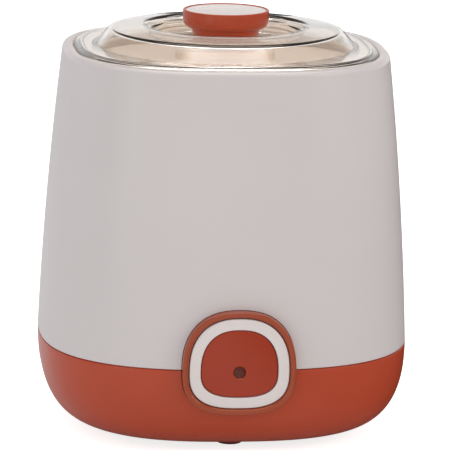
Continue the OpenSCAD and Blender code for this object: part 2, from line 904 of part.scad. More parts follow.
module gland_clip() {
    color(STEEL)
    difference() {
        rod_y(gland_collar_d - 1, inlet_y - inlet_depth - 1.6, inlet_y - inlet_depth, z = gland_z);
        rod_y(gland_d + 2 * fit, inlet_y - inlet_depth - 5, inlet_y, z = gland_z);
    }
}

block_y = 55;
block_size = [34, 16, 12];
block_top = floor_z + block_size[2];
pole_pitch = 10;
pole_y = 4;
pole_d = 3.2;
pole_low = block_top - 4;

module terminal_block() {
    color([0.88, 0.87, 0.84])
    difference() {
        block([-block_size[0] / 2, block_y - block_size[1] / 2, floor_z],
              [block_size[0] / 2, block_y + block_size[1] / 2, block_top]);
        for (x = [-1, 0, 1], y = [-1, 1])
            post(pole_d + 0.2, pole_low, block_top + 1, [x * pole_pitch, block_y + y * pole_y]);
        for (x = [-1, 0, 1])
            rod_y(3, block_y, block_y + block_size[1], x = x * pole_pitch, z = lead_in_z - 2);
    }
}

module terminal_screws() {
    color([0.80, 0.66, 0.34])
    for (x = [-1, 0, 1], y = [-1, 1])
        post(pole_d, pole_low, block_top - 1, [x * pole_pitch, block_y + y * pole_y]);
}

// Points of a smooth curve through the given ones
function curve_point(p, i, t) =
    let (n = len(p),
         a = p[max(i - 1, 0)], b = p[i], c = p[i + 1], d = p[min(i + 2, n - 1)])
    0.5 * (2 * b + (c - a) * t + (2 * a - 5 * b + 4 * c - d) * t * t
           + (3 * b - a - 3 * c + d) * t * t * t);
function smooth(p, steps = 4) = concat(
    [for (i = [0 : len(p) - 2], k = [0 : steps - 1]) curve_point(p, i, k / steps)],
    [p[len(p) - 1]]
);
function unit(v) = v / norm(v);
function along(p, i) =
    i == 0 ? unit(p[1] - p[0])
    : i == len(p) - 1 ? unit(p[i] - p[i - 1])
    : unit(p[i + 1] - p[i - 1]);

// Side directions carried along the path, so that the tube doesn't twist
function carried(p, i, side) =
    let (t = along(p, i), s = unit(side - (side * t) * t))
    i == len(p) - 1 ? [s] : concat([s], carried(p, i + 1, s));

// A round tube of diameter d along the path p
module tube(p, d, sides = 8, side = [0.31, 0.17, 0.94]) {
    s = carried(p, 0, side);
    polyhedron(
        [for (i = [0 : len(p) - 1], k = [0 : sides - 1])
            let (u = s[i], v = cross(along(p, i), u), a = 360 * k / sides)
            p[i] + d / 2 * (cos(a) * u + sin(a) * v)],
        concat(
            band_faces(0, len(p) - 2, sides, len(p)),
            [[for (k = [0 : sides - 1]) k]],
            [[for (k = [sides - 1 : -1 : 0]) (len(p) - 1) * sides + k]]
        )
    );
}

board_y = frame_back + 9.5;
board_t = 1.6;
board_back = board_y + board_t;
lead_in_z = floor_z + block_size[2] / 2;
block_front = block_y - block_size[1] / 2;

// A straight end of a lead: three points from one point towards another
function straight(from, to) = [from, (from + to) / 2, to];

lead_low = floor_z + 2.4;                     // middle of the lead that runs along the floor
tab_in = heater_tabs[0];
tab_out = heater_tabs[1];
blade_mid = blade_low + blade_l / 2;

// Mains to the board, the board to the fuse, and the fuse to the thermostat
live_routes = [
    concat(
        straight([-pole_pitch, block_front, lead_in_z], [-pole_pitch, block_front - 5, lead_in_z]),
        [[-13, 26, lead_low + 1], [-16, 2, lead_low], [-15, -26, lead_low + 1],
         [-10, -50, 16], [-8, -60, 28]],
        straight([-6, board_back + 5, 33], [-6, board_back, 33])
    ),
    concat(
        straight([6, board_back, 33], [6, board_back + 5, 33]),
        [[12, -56, 38], [16, -48, 52]],
        straight([fuse_l / 2 + 5, fuse_at[1], fuse_z], [fuse_l / 2, fuse_at[1], fuse_z])
    ),
    concat(
        straight([-fuse_l / 2, fuse_at[1], fuse_z], [-fuse_l / 2 - 4, fuse_at[1], fuse_z]),
        [[-17, -26, 59], [-19, -14, 57], [-17, -4, blade_mid]],
        straight([-blade_x - 5, 0, blade_mid], [-blade_x - 0.5, 0, blade_mid])
    )
];

// The thermostat to the heater, and the heater back to the mains
neutral_routes = [
    concat(
        straight([blade_x + 0.5, 0, blade_mid], [blade_x + 5, 0, blade_mid]),
        [[17, -5, 58], [23, -9, 59]],
        straight([tab_in[0], tab_in[1], insulator_z - 5], [tab_in[0], tab_in[1], insulator_z])
    ),
    concat(
        straight([tab_out[0], tab_out[1], insulator_z], [tab_out[0], tab_out[1], insulator_z - 6]),
        [[27, 14, 52], [26, 22, 34], [18, 32, 18]],
        straight([pole_pitch, block_front - 5, lead_in_z], [pole_pitch, block_front, lead_in_z])
    )
];

module live_leads() {
    color([0.42, 0.24, 0.14])
    for (route = live_routes) tube(smooth(route), lead_d);
}

module neutral_leads() {
    color([0.16, 0.32, 0.62])
    for (route = neutral_routes) tube(smooth(route), lead_d);
}

// ---- Jar ----

jar_low = well_floor_z + loose;
jar_top = seat_z - jar_drop;
jar_rim_r = well_mouth_r - jar_gap;
jar_r = jar_rim_r - jar_rim_w;
jar_foot_r = jar_r - jar_taper;
jar_round = 8;
rim_drop = 6;                                 // height of the jar's turned-out rim
foot_ring_w = 4;

module jar() {
    color(MILKY)
    rotate_extrude()
        polygon(concat(
            [[0, jar_low + 1], [jar_foot_r - jar_round - foot_ring_w - 1, jar_low + 1],
             [jar_foot_r - jar_round - foot_ring_w, jar_low]],
            arc(jar_foot_r - jar_round, jar_low + jar_round, jar_round, -90, 0, 6),
            [[jar_r, jar_top - rim_drop], [jar_rim_r, jar_top - rim_drop]],
            arc(jar_rim_r - 1, jar_top - 1, 1, 0, 90),
            arc(jar_r - jar_wall + 0.6, jar_top - 0.6, 0.6, 90, 180, 2),
            [[jar_r - jar_wall, jar_top - rim_drop]],
            arc(jar_foot_r - jar_round, jar_low + jar_round, jar_round - jar_wall, 0, -90, 6),
            [[jar_foot_r - jar_round - foot_ring_w, jar_low + jar_wall + 1],
             [0, jar_low + jar_wall + 1]]
        ));
}

cover_low = jar_top + loose;
cover_top = cover_low + cover_t;
plug_depth = 5;                               // the cover's ring reaches this far into the jar
plug_r = jar_r - jar_wall - loose;
grip_w = 9;
plug_t = 1.6;

module jar_cover() {
    color(MILKY)
    union() {
        rotate_extrude()
            polygon(concat(
                [[0, cover_low], [plug_r - plug_t, cover_low], [plug_r - plug_t, cover_low - plug_depth],
                 [plug_r, cover_low - plug_depth], [plug_r, cover_low]],
                arc(jar_rim_r - 0.7, cover_top - 0.7, 0.7, 0, 90),
                [[0, cover_top]]
            ));
        // A bar across the middle, with round ends, to lift the cover by
        for (x = [-1, 1])
            post(grip_w, cover_top - tiny, cover_top + grip_h, [x * (grip_l - grip_w) / 2, 0]);
        block([-(grip_l - grip_w) / 2, -grip_w / 2, cover_top - tiny],
              [(grip_l - grip_w) / 2, grip_w / 2, cover_top + grip_h]);
    }
}

// ---- Clear lid and its grip ----

lid_low = seat_z + loose;
lid_r = open_r - 0.6;
lid_edge_z = lid_low + lid_edge_t;            // top of the lid's outer edge
flat_z = lid_edge_z + lid_step;               // top of the lid's flat
crown_z = flat_z + dome_h;
dome_r = dome_foot_d / 2;
recess_r = recess_d / 2;
recess_z = crown_z - recess_depth;            // top of the recess's floor
shoulder_round = 3.5;
recess_round = 2.4;
recess_slant = 2.2;
spigot_r = well_mouth_r - 0.6;                // the lid's locating ring inside the well's mouth
spigot_t = 1.5;
spigot_drop = 3.3;

// The raised ring has a sloping wall, a round shoulder and a top that rises to the recess
wall_slope = atan2(shoulder_h, dome_r - shoulder_d / 2);
shoulder = [shoulder_d / 2, flat_z + shoulder_h];
recess_edge = [recess_r + recess_round, crown_z - recess_round];
top_slope = atan2(recess_edge[1] - shoulder[1], shoulder[0] - recess_edge[0])
    + asin(recess_round / norm(shoulder - recess_edge));
shoulder_at = shoulder - shoulder_round * (facing(wall_slope) + facing(top_slope))
    / (1 + facing(wall_slope) * facing(top_slope));

// The way a surface faces that falls outwards by that many degrees
function facing(slope) = [sin(slope), cos(slope)];

// Section of the raised ring and the recess, from the flat in to the middle, drawn in by t
function lid_section(t) = concat(
    [[dome_r - t * tan(wall_slope / 2), flat_z - t]],
    arc(shoulder_at[0], shoulder_at[1], shoulder_round - t, 90 - wall_slope, 90 - top_slope, 6),
    arc(recess_edge[0], recess_edge[1], recess_round - t, 90 - top_slope, 180),
    arc(recess_r - recess_slant - recess_round, recess_z + recess_round, recess_round + t, 0, -90),
    [[0, recess_z - t]]
);

// The solid under the raised ring and the recess, down to height low
module lid_dome(t, low)
    rotate_extrude()
        polygon(concat([[0, low], [lid_section(t)[0][0], low]], lid_section(t)));

module clear_lid() {
    color(CLEAR)
    union() {
        difference() {
            union() {
                soft_square_plate(lid_r, lid_low, lid_edge_z);
                soft_square_plate(lid_r - lid_edge_w, lid_edge_z - tiny, flat_z);
                lid_dome(0, lid_low);
            }
            soft_square_plate(lid_r - lid_edge_w - lid_t, lid_low - 1, flat_z - lid_t);
            lid_dome(lid_t, lid_low - 1);
            post(knob_hole_d, recess_z - lid_t - 1, recess_z + 1);
        }
        // The ring that drops into the well's mouth and keeps the lid in place
        difference() {
            post(2 * spigot_r, lid_low - spigot_drop, flat_z - lid_t + tiny);
            post(2 * (spigot_r - spigot_t), lid_low - spigot_drop - 1, flat_z);
        }
    }
}

knob_hole_d = 4.2;
knob_screw_d = 2.8;
knob_r = knob_d / 2;
neck_r = knob_neck_d / 2;
knob_low = recess_z;
knob_top = knob_low + knob_h;
bowl_h = 9;                                   // height of the grip's wide part
bowl_low = knob_top - bowl_h;
cap_r = knob_r - knob_wall - fit / 2;
cap_edge = knob_top - cap_sink;
cap_seat = cap_edge - 1.6;
boss_r = 4;

module lid_knob() {
    color(RED)
    rotate_extrude()
        polygon(concat(
            [[knob_screw_d / 2 + 0.05, knob_low], [neck_r, knob_low]],
            [for (t = [0.2 : 0.2 : 1]) [neck_r + 1.4 * t * t, lerp(knob_low, bowl_low, t)]],
            [for (a = [-60 : 20 : 0]) [knob_r - 4.6 + 4.6 * cos(a), bowl_low + 4 + 4.6 * sin(a)]],
            [[knob_r, knob_top - 0.5], [knob_r - 0.4, knob_top], [knob_r - knob_wall, knob_top],
             [knob_r - knob_wall, cap_seat], [knob_r - knob_wall - 1.6, cap_seat],
             [knob_r - knob_wall - 2.4, bowl_low + 4], [neck_r - 1, bowl_low + 1],
             [neck_r - 1.6, knob_low + 2], [boss_r, knob_low + 2], [boss_r, cap_seat - 1.5],
             [knob_screw_d / 2 + 0.05, cap_seat - 1.5]]
        ));
}

module knob_cap() {
    ball_r = (cap_r * cap_r + cap_dome * cap_dome) / (2 * cap_dome);
    color(WHITE)
    rotate_extrude()
        polygon(concat(
            [[0, cap_seat], [cap_r, cap_seat]],
            arc(0, cap_edge + cap_dome - ball_r, ball_r, 90 - asin(cap_r / ball_r), 90, 8)
        ));
}

washer_t = 0.8;
washer_low = recess_z - lid_t - washer_t;

module knob_washer() {
    color([0.80, 0.80, 0.78])
    difference() {
        post(10, washer_low, washer_low + washer_t);
        post(knob_hole_d, washer_low - 1, washer_low + washer_t + 1);
    }
}

module knob_screw() {
    color(STEEL)
    union() {
        post(6, washer_low - 1.6, washer_low);
        post(knob_screw_d, washer_low - tiny, knob_low + 8);
    }
}

base_shell();
body_shell();
foot_pads();
housing_screws();
well_liner();
plate_gasket();
heating_plate();
foil_heater();
heater_insulator();
heater_retainer();
retainer_screws();
thermostat();
thermostat_strap();
strap_rivets();
thermal_fuse();
fuse_clip();
terminal_block();
terminal_screws();
cord_gland();
gland_clip();
live_leads();
neutral_leads();
control_bezel();
trim_ring();
power_button();
indicator_window();
button_spring();
switch_plunger();
power_switch();
control_frame();
frame_screws();
control_board();
board_screws();
board_components();
indicator_lamp();
jar();
jar_cover();
clear_lid();
lid_knob();
knob_cap();
knob_screw();
knob_washer();
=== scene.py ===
"""A single-jar yogurt maker on a pale floor: the fine shapes of its pieces and the finish of each surface.

Sizes are in millimetres, as on the drawing, and the modelling helpers turn them into Blender's metres.
"""
import json
import math

import bpy
from mathutils import Matrix, Vector
from mathutils.bvhtree import BVHTree
from mathutils.interpolate import poly_3d_calc


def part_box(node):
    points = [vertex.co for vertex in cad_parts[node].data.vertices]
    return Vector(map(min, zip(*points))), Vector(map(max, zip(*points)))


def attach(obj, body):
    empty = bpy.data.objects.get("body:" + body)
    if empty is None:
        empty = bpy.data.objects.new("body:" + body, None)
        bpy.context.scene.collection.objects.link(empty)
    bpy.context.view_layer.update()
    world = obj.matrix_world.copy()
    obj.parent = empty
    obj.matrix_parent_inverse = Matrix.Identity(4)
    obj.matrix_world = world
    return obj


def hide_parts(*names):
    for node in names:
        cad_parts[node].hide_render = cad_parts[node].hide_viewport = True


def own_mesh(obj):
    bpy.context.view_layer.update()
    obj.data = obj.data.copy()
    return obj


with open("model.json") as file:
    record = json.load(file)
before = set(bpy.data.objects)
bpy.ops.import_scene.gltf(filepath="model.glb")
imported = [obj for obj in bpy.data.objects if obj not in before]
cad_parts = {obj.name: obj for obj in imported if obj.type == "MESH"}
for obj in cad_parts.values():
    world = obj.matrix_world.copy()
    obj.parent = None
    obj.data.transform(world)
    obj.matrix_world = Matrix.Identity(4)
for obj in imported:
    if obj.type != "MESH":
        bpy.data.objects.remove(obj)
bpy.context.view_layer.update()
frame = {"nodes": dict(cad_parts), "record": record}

MM = 0.001

# -------- sizes read from the frame


def low(node):
    """Lowest corner of a node's box, in millimetres."""
    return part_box(node)[0] / MM


def high(node):
    """Highest corner of a node's box, in millimetres."""
    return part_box(node)[1] / MM


# Housing and base
BODY_R = high("body_shell").x  # half-width of the housing at the seam
SEAM_Z = low("body_shell").z
BODY_TOP = high("body_shell").z
RIM_R = 83.4  # half-width that the sides taper to at the top
SIDE_BOW = 1.4
SQUARENESS = 2.6
WALL = 2.4
LIP_R = 2.8  # rounding of the top edge, outside
LIP_INNER_R = 1.3
OPEN_R = 78.0  # half-width of the opening that the lid lies in
LEDGE_R = 74.5
SEAT_Z = high("well_liner").z  # top of the well's flange, under the lid
FLANGE_T = 1.8
LEDGE_Z = SEAT_Z - FLANGE_T
LEDGE_T = 2.0
TONGUE_H = 4.0
TONGUE_T = 1.6

FLAT_R = 65.0  # half-width of the flat underside
FOOT_H = 4.0
FLOOR_Z = 6.5
BASE_ROUND = 2.5
SEAM_EDGE_R = 0.4
GROOVE_H = 0.5  # the shadow line under the seam
GROOVE_D = 0.9

TOWER_AT = 43.98
CORNERS = [(x * TOWER_AT, y * TOWER_AT) for x in (-1, 1) for y in (-1, 1)]
TOWER_R = 6.5
TOWER_TOP = 50.0
WEB_LOW = 36.0
WEB_HIGH = 40.0
POST_R = 4.5
SCREW_HEAD_R = 4.4
SCREW_HOLE_R = 2.25
POST_HOLE_R = 2.0
POST_HOLE_TOP = 60.5
FOOT_AT = 54.5
FOOT_ANGLES = (0, 90, 180, 270)
FOOT_R = 8.5  # where a foot meets the underside
FOOT_END_R = 7.8
FOOT_LOW = low("foot_pads").z + 1.0
PAD_R = 6.5
PAD_T = high("foot_pads").z
PAD_RING_R = 2.4  # the ring moulded into a pad's face
PAD_RING_DEPTH = 0.35
GLAND_Z = 34.0
GLAND_R = 5.5
GLAND_BORE_R = 3.6
GLAND_END = high("cord_gland").y
GLAND_LENGTH = 9.0  # how far the barrel reaches in
COLLAR_R = 8.5
COLLAR_STEP_R = 6.9
COLLAR_END_R = 6.5
BOSS_R = 10
BOSS_LENGTH = 6
INLET_Y = BODY_R + 0.3

# Ribs inside the base, and the slot in them for the control frame; distances run towards the front
RIB_AT = 9.0
RIB_T = 3.0
RIB_H = 8.0
RIB_BACK = 79.5
RIB_FRONT = 86.5
SLOT_HALF = 12.0
SLOT_BACK = 81.75
SLOT_FRONT = 84.25

# Well
WELL_R = 69.0
WELL_FLOOR_R = 67.0
WELL_FLOOR_Z = high("heating_plate").z
WELL_LOW = WELL_FLOOR_Z - 2.5
WELL_WALL = 2.0
WELL_ROUND = 3.0
WELL_LIP_R = 1.2
PLATE_HOLE_R = 49.95
LUG_AT = 60.0
LUG_ANGLES = (90, 210, 330)
LUG_R = 3.6
LUG_LOW = high("heater_retainer").z

# Control panel: insets run in from the bezel's outline, heights run forward from the middle of the housing
PANEL_Z = 47.0  # level at which the panel is widest
PANEL_HALF = 28.5
PANEL_UP = 30.5
PANEL_DOWN = 22.1
UPPER_SQUARE = 2.4
LOWER_SQUARE = 2.75
PANEL_DOME_R = 260.0
DOME_DEPTH = 1.5  # only what lies less far behind the front follows the dome
HOLE_BACK = 70  # the hole for the panel runs between these
HOLE_FRONT = 110
PANEL_FRONT = BODY_R + 5.0
RING_FRONT = PANEL_FRONT - 0.9
BUTTON_FRONT = PANEL_FRONT - 1.6
SHELF_FRONT = BODY_R - 2.0
SHELF_BACK = SHELF_FRONT - 2.0
SNAP_FRONT = BODY_R - 7.4
FRAME_FRONT = BODY_R - 11.0
BEZEL_BAND = 3.5
BEAD_R = 0.9  # the bead is highest this far in, and falls towards the ring
BEAD_FALL = 2.7
RING_BAND = 5.8
RING_EDGE_R = 0.6
BUTTON_INSET = BEZEL_BAND + RING_BAND
BUTTON_EDGE_R = 0.55
BUTTON_SHARES = (0.94, 0.84, 0.7, 0.55, 0.4, 0.25, 0.1)  # rings of its face, as shares of its width
BUTTON_WALL = 1.5
STEM_R = 2.6
BEZEL_INSIDE = 2.2
SNAP_W = 2.5
SNAP_T = 2.0
FIT = 0.25
LOOSE = 0.3
BUTTON_INNER = BUTTON_FRONT - 2.2
SKIRT_BACK = SHELF_BACK - LOOSE
WINDOW_Z = PANEL_Z - 0.2
WINDOW_R = 3.0
WINDOW_BACK = BODY_R - 6.5
WINDOW_COLLAR = 0.8
SWITCH_Z = PANEL_Z + 11.0
SPRING_FRONT = -low("button_spring").y
SPRING_BACK = -high("button_spring").y
SPRING_R = 4.0
SPRING_TURNS = 5
SPRING_WIRE_R = 0.3
SPRING_STEPS = 36

# Jar and its cover
JAR_LOW = low("jar").z
JAR_TOP = high("jar").z
JAR_RIM_R = high("jar").x
JAR_R = JAR_RIM_R - 1.8
JAR_FOOT_R = JAR_R - 3.0
JAR_WALL = 1.8
JAR_ROUND = 8.0
JAR_RIM_DROP = 6.0
JAR_RING = 1.4  # the standing ring under the jar
COVER_LOW = JAR_TOP + LOOSE
COVER_TOP = COVER_LOW + 1.6
PLUG_R = JAR_R - JAR_WALL - LOOSE
PLUG_DEPTH = 5.0
PLUG_T = 1.6
COVER_STEP = 0.4
GRIP_L = 52.0
GRIP_W = 9.0
GRIP_TOP = high("jar_cover").z
GRIP_SUNK = 0.8  # how far the bar starts below the cover's top
GRIP_EDGE = 1.4

# Clear lid and its grip
LID_LOW = SEAT_Z + LOOSE
LID_R = OPEN_R - 0.6
LID_T = 2.0
LID_EDGE_W = 2.3
LID_EDGE_Z = LID_LOW + 1.8
FLAT_Z = LID_EDGE_Z + 1.4
DOME_H = 10.0
CROWN_Z = FLAT_Z + DOME_H
DOME_R = 67.0
SHOULDER_R = 60.0
SHOULDER_H = 8.0
SHOULDER_ROUND = 3.5
RECESS_R = 40.3
RECESS_ROUND = 2.4
RECESS_SLANT = 2.2
RECESS_Z = low("lid_knob").z
SPIGOT_R = WELL_R - 0.6
SPIGOT_T = 1.5
SPIGOT_LOW = LID_LOW - 3.3
KNOB_HOLE_R = 2.1

KNOB_R = high("lid_knob").x
KNOB_TOP = high("lid_knob").z
BOWL_LOW = KNOB_TOP - 9.0
NECK_R = 16.7
NECK_FLARE = 1.4
BOWL_R = 4.6
KNOB_WALL = 1.3
KNOB_BORE_R = 1.45
CAP_R = high("knob_cap").x
CAP_EDGE = KNOB_TOP - 0.4
CAP_SEAT = CAP_EDGE - 1.6

# Fineness of the meshes. Holes and pads differ from what they cut, so that no two edges fall on each other
CORNER_STEPS = 48
ROUND_STEPS = 4 * CORNER_STEPS
PLATE_HOLE_STEPS = 190
FOOT_STEPS = 72
SEAT_STEPS = 70
WINDOW_STEPS = 64
SMALL_STEPS = 48
SCREW_STEPS = 32
WELD = 0.002  # points closer than this are merged

# Colours, as the shader mixes them
RED = (0.450, 0.062, 0.025)
# The button's and the bezel's reds are darker than RED: painted shade for the dimmer light that falls on the
# panel's front-facing pieces
BUTTON_RED_PAINTED_SHADE = (0.350, 0.042, 0.018)
BEZEL_RED_PAINTED_SHADE = (0.338, 0.068, 0.031)
WHITE = (0.632, 0.592, 0.598)
TRIM_WHITE = (0.73, 0.675, 0.665)
INNER_WHITE = (0.70, 0.66, 0.61)
MILKY = (0.82, 0.76, 0.69)
CLEAR = (0.96, 0.915, 0.875)
SMOKED = (0.090, 0.020, 0.012)
FLOOR_COLOR = (0.84, 0.84, 0.84)
NOISE_ENDS = (0.3, 0.7)  # where noise mostly stays

# Camera, in millimetres and degrees
CAMERA_PLACE = (-201.5, -1939.6, 501.0)
CAMERA_TURN = 5.975
CAMERA_TILT = -11.57
CAMERA_ROLL = 1.08
CAMERA_LENS = 306.2

# Studio light; heights, widths and ways of the room run from -1 to 1, other places are in metres
ROOM_COLOR = (1.0, 0.99, 0.98)
ROOM_LIGHT = 0.66
ROOM_GLOSS = (0.34, 0.27, 0.22)  # what gloss shows of the room in front
WALL_START = (-0.1, 0.35)  # the pale wall begins here towards the back
WALL_ENDS = (0.2, 0.38)  # and fades out between these heights
OVERHEAD_LIGHT = 8.0
OVERHEAD_HEIGHT = (0.78, 0.92)
OVERHEAD_WIDTH = (0.30, 0.50)
FLOOR_LIFT = 0.78
FLAG_ENDS = (0.0, 0.12)  # gloss loses the floor between these places, to the right
LIT_PLACE = (0, 0, 0.1)
FRONT_WATTS = 3.9
LEFT_WATTS = 5.7
RIGHT_WATTS = 12.5
RIGHT_COLOR = (1.0, 0.92, 0.82)
TOP_WATTS = 11.4


# -------- modelling helpers


def deselect():
    bpy.ops.object.select_all(action="DESELECT")


def pick(obj):
    """Selects one piece alone and makes it the active one."""
    deselect()
    bpy.context.view_layer.objects.active = obj
    obj.select_set(True)


def edit(obj):
    """Opens one piece for editing, with nothing else selected."""
    pick(obj)
    bpy.ops.object.mode_set(mode="EDIT")


def close_edit():
    bpy.ops.object.mode_set(mode="OBJECT")


def select_all():
    bpy.ops.mesh.select_all(action="SELECT")


def apply_place(obj):
    """Puts the piece's place, turn and size into its mesh."""
    pick(obj)
    bpy.ops.object.transform_apply(location=True, rotation=True, scale=True)


def named(name):
    """Names the primitive that was just added."""
    obj = bpy.context.object
    obj.name = name
    obj.data.name = name
    return obj


def open_primitive(name):
    """Names the primitive that was just added and opens it for editing, all selected."""
    obj = named(name)
    apply_place(obj)
    edit(obj)
    select_all()
    return obj


def apply_modifier(obj, modifier):
    pick(obj)
    bpy.ops.object.modifier_apply(modifier=modifier.name)


def duplicate(obj, name):
    """A copy of a piece with a mesh of its own."""
    pick(obj)
    bpy.ops.object.duplicate()
    return named(name)


def join(target, *others):
    """Makes several meshes one piece."""
    pick(target)
    for other in others:
        other.select_set(True)
    bpy.ops.object.join()
    return target


def move(obj, x=0, y=0, z=0):
    obj.location = (x * MM, y * MM, z * MM)
    apply_place(obj)
    return obj


def face_front(obj, x=0, y=0, z=0):
    """Lays an upright piece over, so that its top faces the front, and moves it to its place."""
    obj.rotation_euler = (math.pi / 2, 0, 0)
    return move(obj, x, y, z)


def face_back(obj, x=0, y=0, z=0):
    """The same towards the back."""
    obj.rotation_euler = (-math.pi / 2, 0, 0)
    return move(obj, x, y, z)


def smooth(obj, angle=32):
    """Shades the piece smooth, apart from edges sharper than the angle in degrees."""
    pick(obj)
    bpy.ops.object.shade_smooth_by_angle(angle=math.radians(angle))


def merge_and_face_out(obj):
    """Closes the seams of a finished mesh and turns its faces outwards."""
    edit(obj)
    select_all()
    bpy.ops.mesh.remove_doubles(threshold=WELD * MM)
    bpy.ops.mesh.normals_make_consistent(inside=False)
    close_edit()


def select_open_rims():
    """Selects the open rims of the mesh that is being edited."""
    bpy.ops.mesh.select_all(action="DESELECT")
    bpy.ops.mesh.select_mode(type="EDGE")
    bpy.ops.mesh.select_non_manifold(extend=False, use_wire=False, use_boundary=True,
                                     use_multi_face=False, use_non_contiguous=False, use_verts=False)


def cap_open_rims(obj):
    """Fills each open rim of the mesh with one flat face."""
    edit(obj)
    select_open_rims()
    bpy.ops.mesh.edge_face_add()
    close_edit()


def fill_at(obj, z):
    """Joins the two open rims that lie at height z with a flat band of faces."""
    edit(obj)
    select_open_rims()
    close_edit()
    points = obj.data.vertices
    for edge in obj.data.edges:
        edge.select = edge.select and all(abs(points[i].co.z / MM - z) < 0.05 for i in edge.vertices)
    edit(obj)
    bpy.ops.mesh.fill(use_beauty=True)
    close_edit()


# ---- outlines, and pieces drawn from them


def extrude_up(rise, across, along):
    """Draws the selected outline on, and makes it wider and deeper by two factors."""
    bpy.ops.mesh.extrude_edges_move(TRANSFORM_OT_translate={"value": (0, 0, rise * MM)})
    if (across, along) != (1, 1):
        bpy.ops.transform.resize(value=(across, along, 1), center_override=(0, 0, 0))


def draw_on(rings):
    """Draws the selected outline, which lies at the first ring, on through rings of (half-width, height)."""
    for (w0, z0), (w1, z1) in zip(rings, rings[1:]):
        extrude_up(z1 - z0, w1 / w0, w1 / w0)


def soft_square_outline(name, half, z, squareness=SQUARENESS):
    """An empty soft-square outline of that half-width at height z, open in edit mode and selected."""
    deselect()
    bpy.ops.mesh.primitive_plane_add(size=2 * half * MM, location=(0, 0, z * MM))
    obj = open_primitive(name)
    bpy.ops.mesh.bevel(offset=half * MM, offset_type="OFFSET", affect="VERTICES",
                       segments=CORNER_STEPS, profile=2 ** (-2 / squareness))
    select_all()
    bpy.ops.mesh.remove_doubles(threshold=WELD / 2 * MM)
    bpy.ops.mesh.delete(type="ONLY_FACE")
    select_all()
    return obj


def round_outline(name, radius, z, steps=ROUND_STEPS):
    """An empty circle at height z, open in edit mode and selected."""
    deselect()
    bpy.ops.mesh.primitive_circle_add(vertices=steps, radius=radius * MM, location=(0, 0, z * MM))
    return open_primitive(name)


def rounded(corners, closed=False, steps=4):
    """Profile points through corners of (half-width, height, radius), each rounded to its radius."""
    points = []
    count = len(corners)
    for i, (w, z, *radius) in enumerate(corners):
        r = radius[0] if radius else 0
        here = Vector((w, z))
        if r == 0 or (not closed and i in (0, count - 1)):
            points.append((w, z))
            continue
        back = (Vector(corners[i - 1][:2]) - here).normalized()
        on = (Vector(corners[(i + 1) % count][:2]) - here).normalized()
        half = back.angle(on) / 2
        centre = here + (back + on).normalized() * r / math.sin(half)
        start = here + back * r / math.tan(half) - centre
        end = here + on * r / math.tan(half) - centre
        sweep = start.angle_signed(end)
        for k in range(steps + 1):
            arm = Matrix.Rotation(-sweep * k / steps, 2) @ start
            points.append((centre.x + arm.x, centre.y + arm.y))
    return points


def arc(w, z, r, start, end, steps=4):
    """Profile points of a round of radius r about (w, z), between two angles in degrees."""
    angles = [math.radians(start + (end - start) * k / steps) for k in range(steps + 1)]
    return [(w + r * math.cos(a), z + r * math.sin(a)) for a in angles]


def ring_places(radius, angles):
    """Places on a circle about the upright axis, at angles in degrees."""
    return [(radius * math.cos(a), radius * math.sin(a)) for a in map(math.radians, angles)]


def strip(name, outline, profile):
    """An open band of rings on an outline, to be joined to others."""
    obj = outline(name, *profile[0])
    draw_on(profile)
    close_edit()
    return obj


def drawn(name, outline, profile, closed, angle=32):
    """A piece drawn on an outline through a profile of (half-width, height), capped at open ends."""
    if closed:
        profile = profile + profile[:1]
    obj = strip(name, outline, profile)
    if not closed:
        cap_open_rims(obj)
    merge_and_face_out(obj)
    smooth(obj, angle)
    return obj


def turned(name, profile, closed=False, steps=ROUND_STEPS, angle=32):
    """A piece turned about the upright axis."""
    return drawn(name, lambda *first: round_outline(*first, steps), profile, closed, angle)


def soft_squared(name, profile, closed=False):
    """The same with the soft-square outline."""
    return drawn(name, soft_square_outline, profile, closed)


def pin(name, radius, low, high, x=0, y=0, edge=0.3, steps=SMALL_STEPS):
    """An upright round pin with softened edges."""
    profile = rounded([(radius * 0.5, low), (radius, low, edge), (radius, high, edge), (radius * 0.5, high)],
                      steps=3)
    return move(turned(name, profile, steps=steps), x, y)


def hole(name, radius, low, high, steps):
    """An upright cylinder to cut with."""
    return turned(name, [(radius, low), (radius, high)], steps=steps)


def box(name, corner, far_corner, edge=0.3):
    """A block between two corners, with softened edges."""
    deselect()
    bpy.ops.mesh.primitive_cube_add(size=1)
    obj = bpy.context.object
    obj.scale = [(b - a) * MM for a, b in zip(corner, far_corner)]
    obj.location = [(a + b) / 2 * MM for a, b in zip(corner, far_corner)]
    open_primitive(name)
    bpy.ops.mesh.bevel(offset=edge * MM, segments=2)
    close_edit()
    return obj


def combine(obj, others, operation):
    """Adds or cuts other closed meshes to or out of a piece; the others are used up."""
    other = join(*others)
    boolean = obj.modifiers.new("combine", "BOOLEAN")
    boolean.operation = operation
    boolean.solver = "EXACT"
    boolean.object = other
    apply_modifier(obj, boolean)
    bpy.data.objects.remove(other)
    return obj


def fuse(obj, *others):
    return combine(obj, others, "UNION")


def cut(obj, *others):
    return combine(obj, others, "DIFFERENCE")


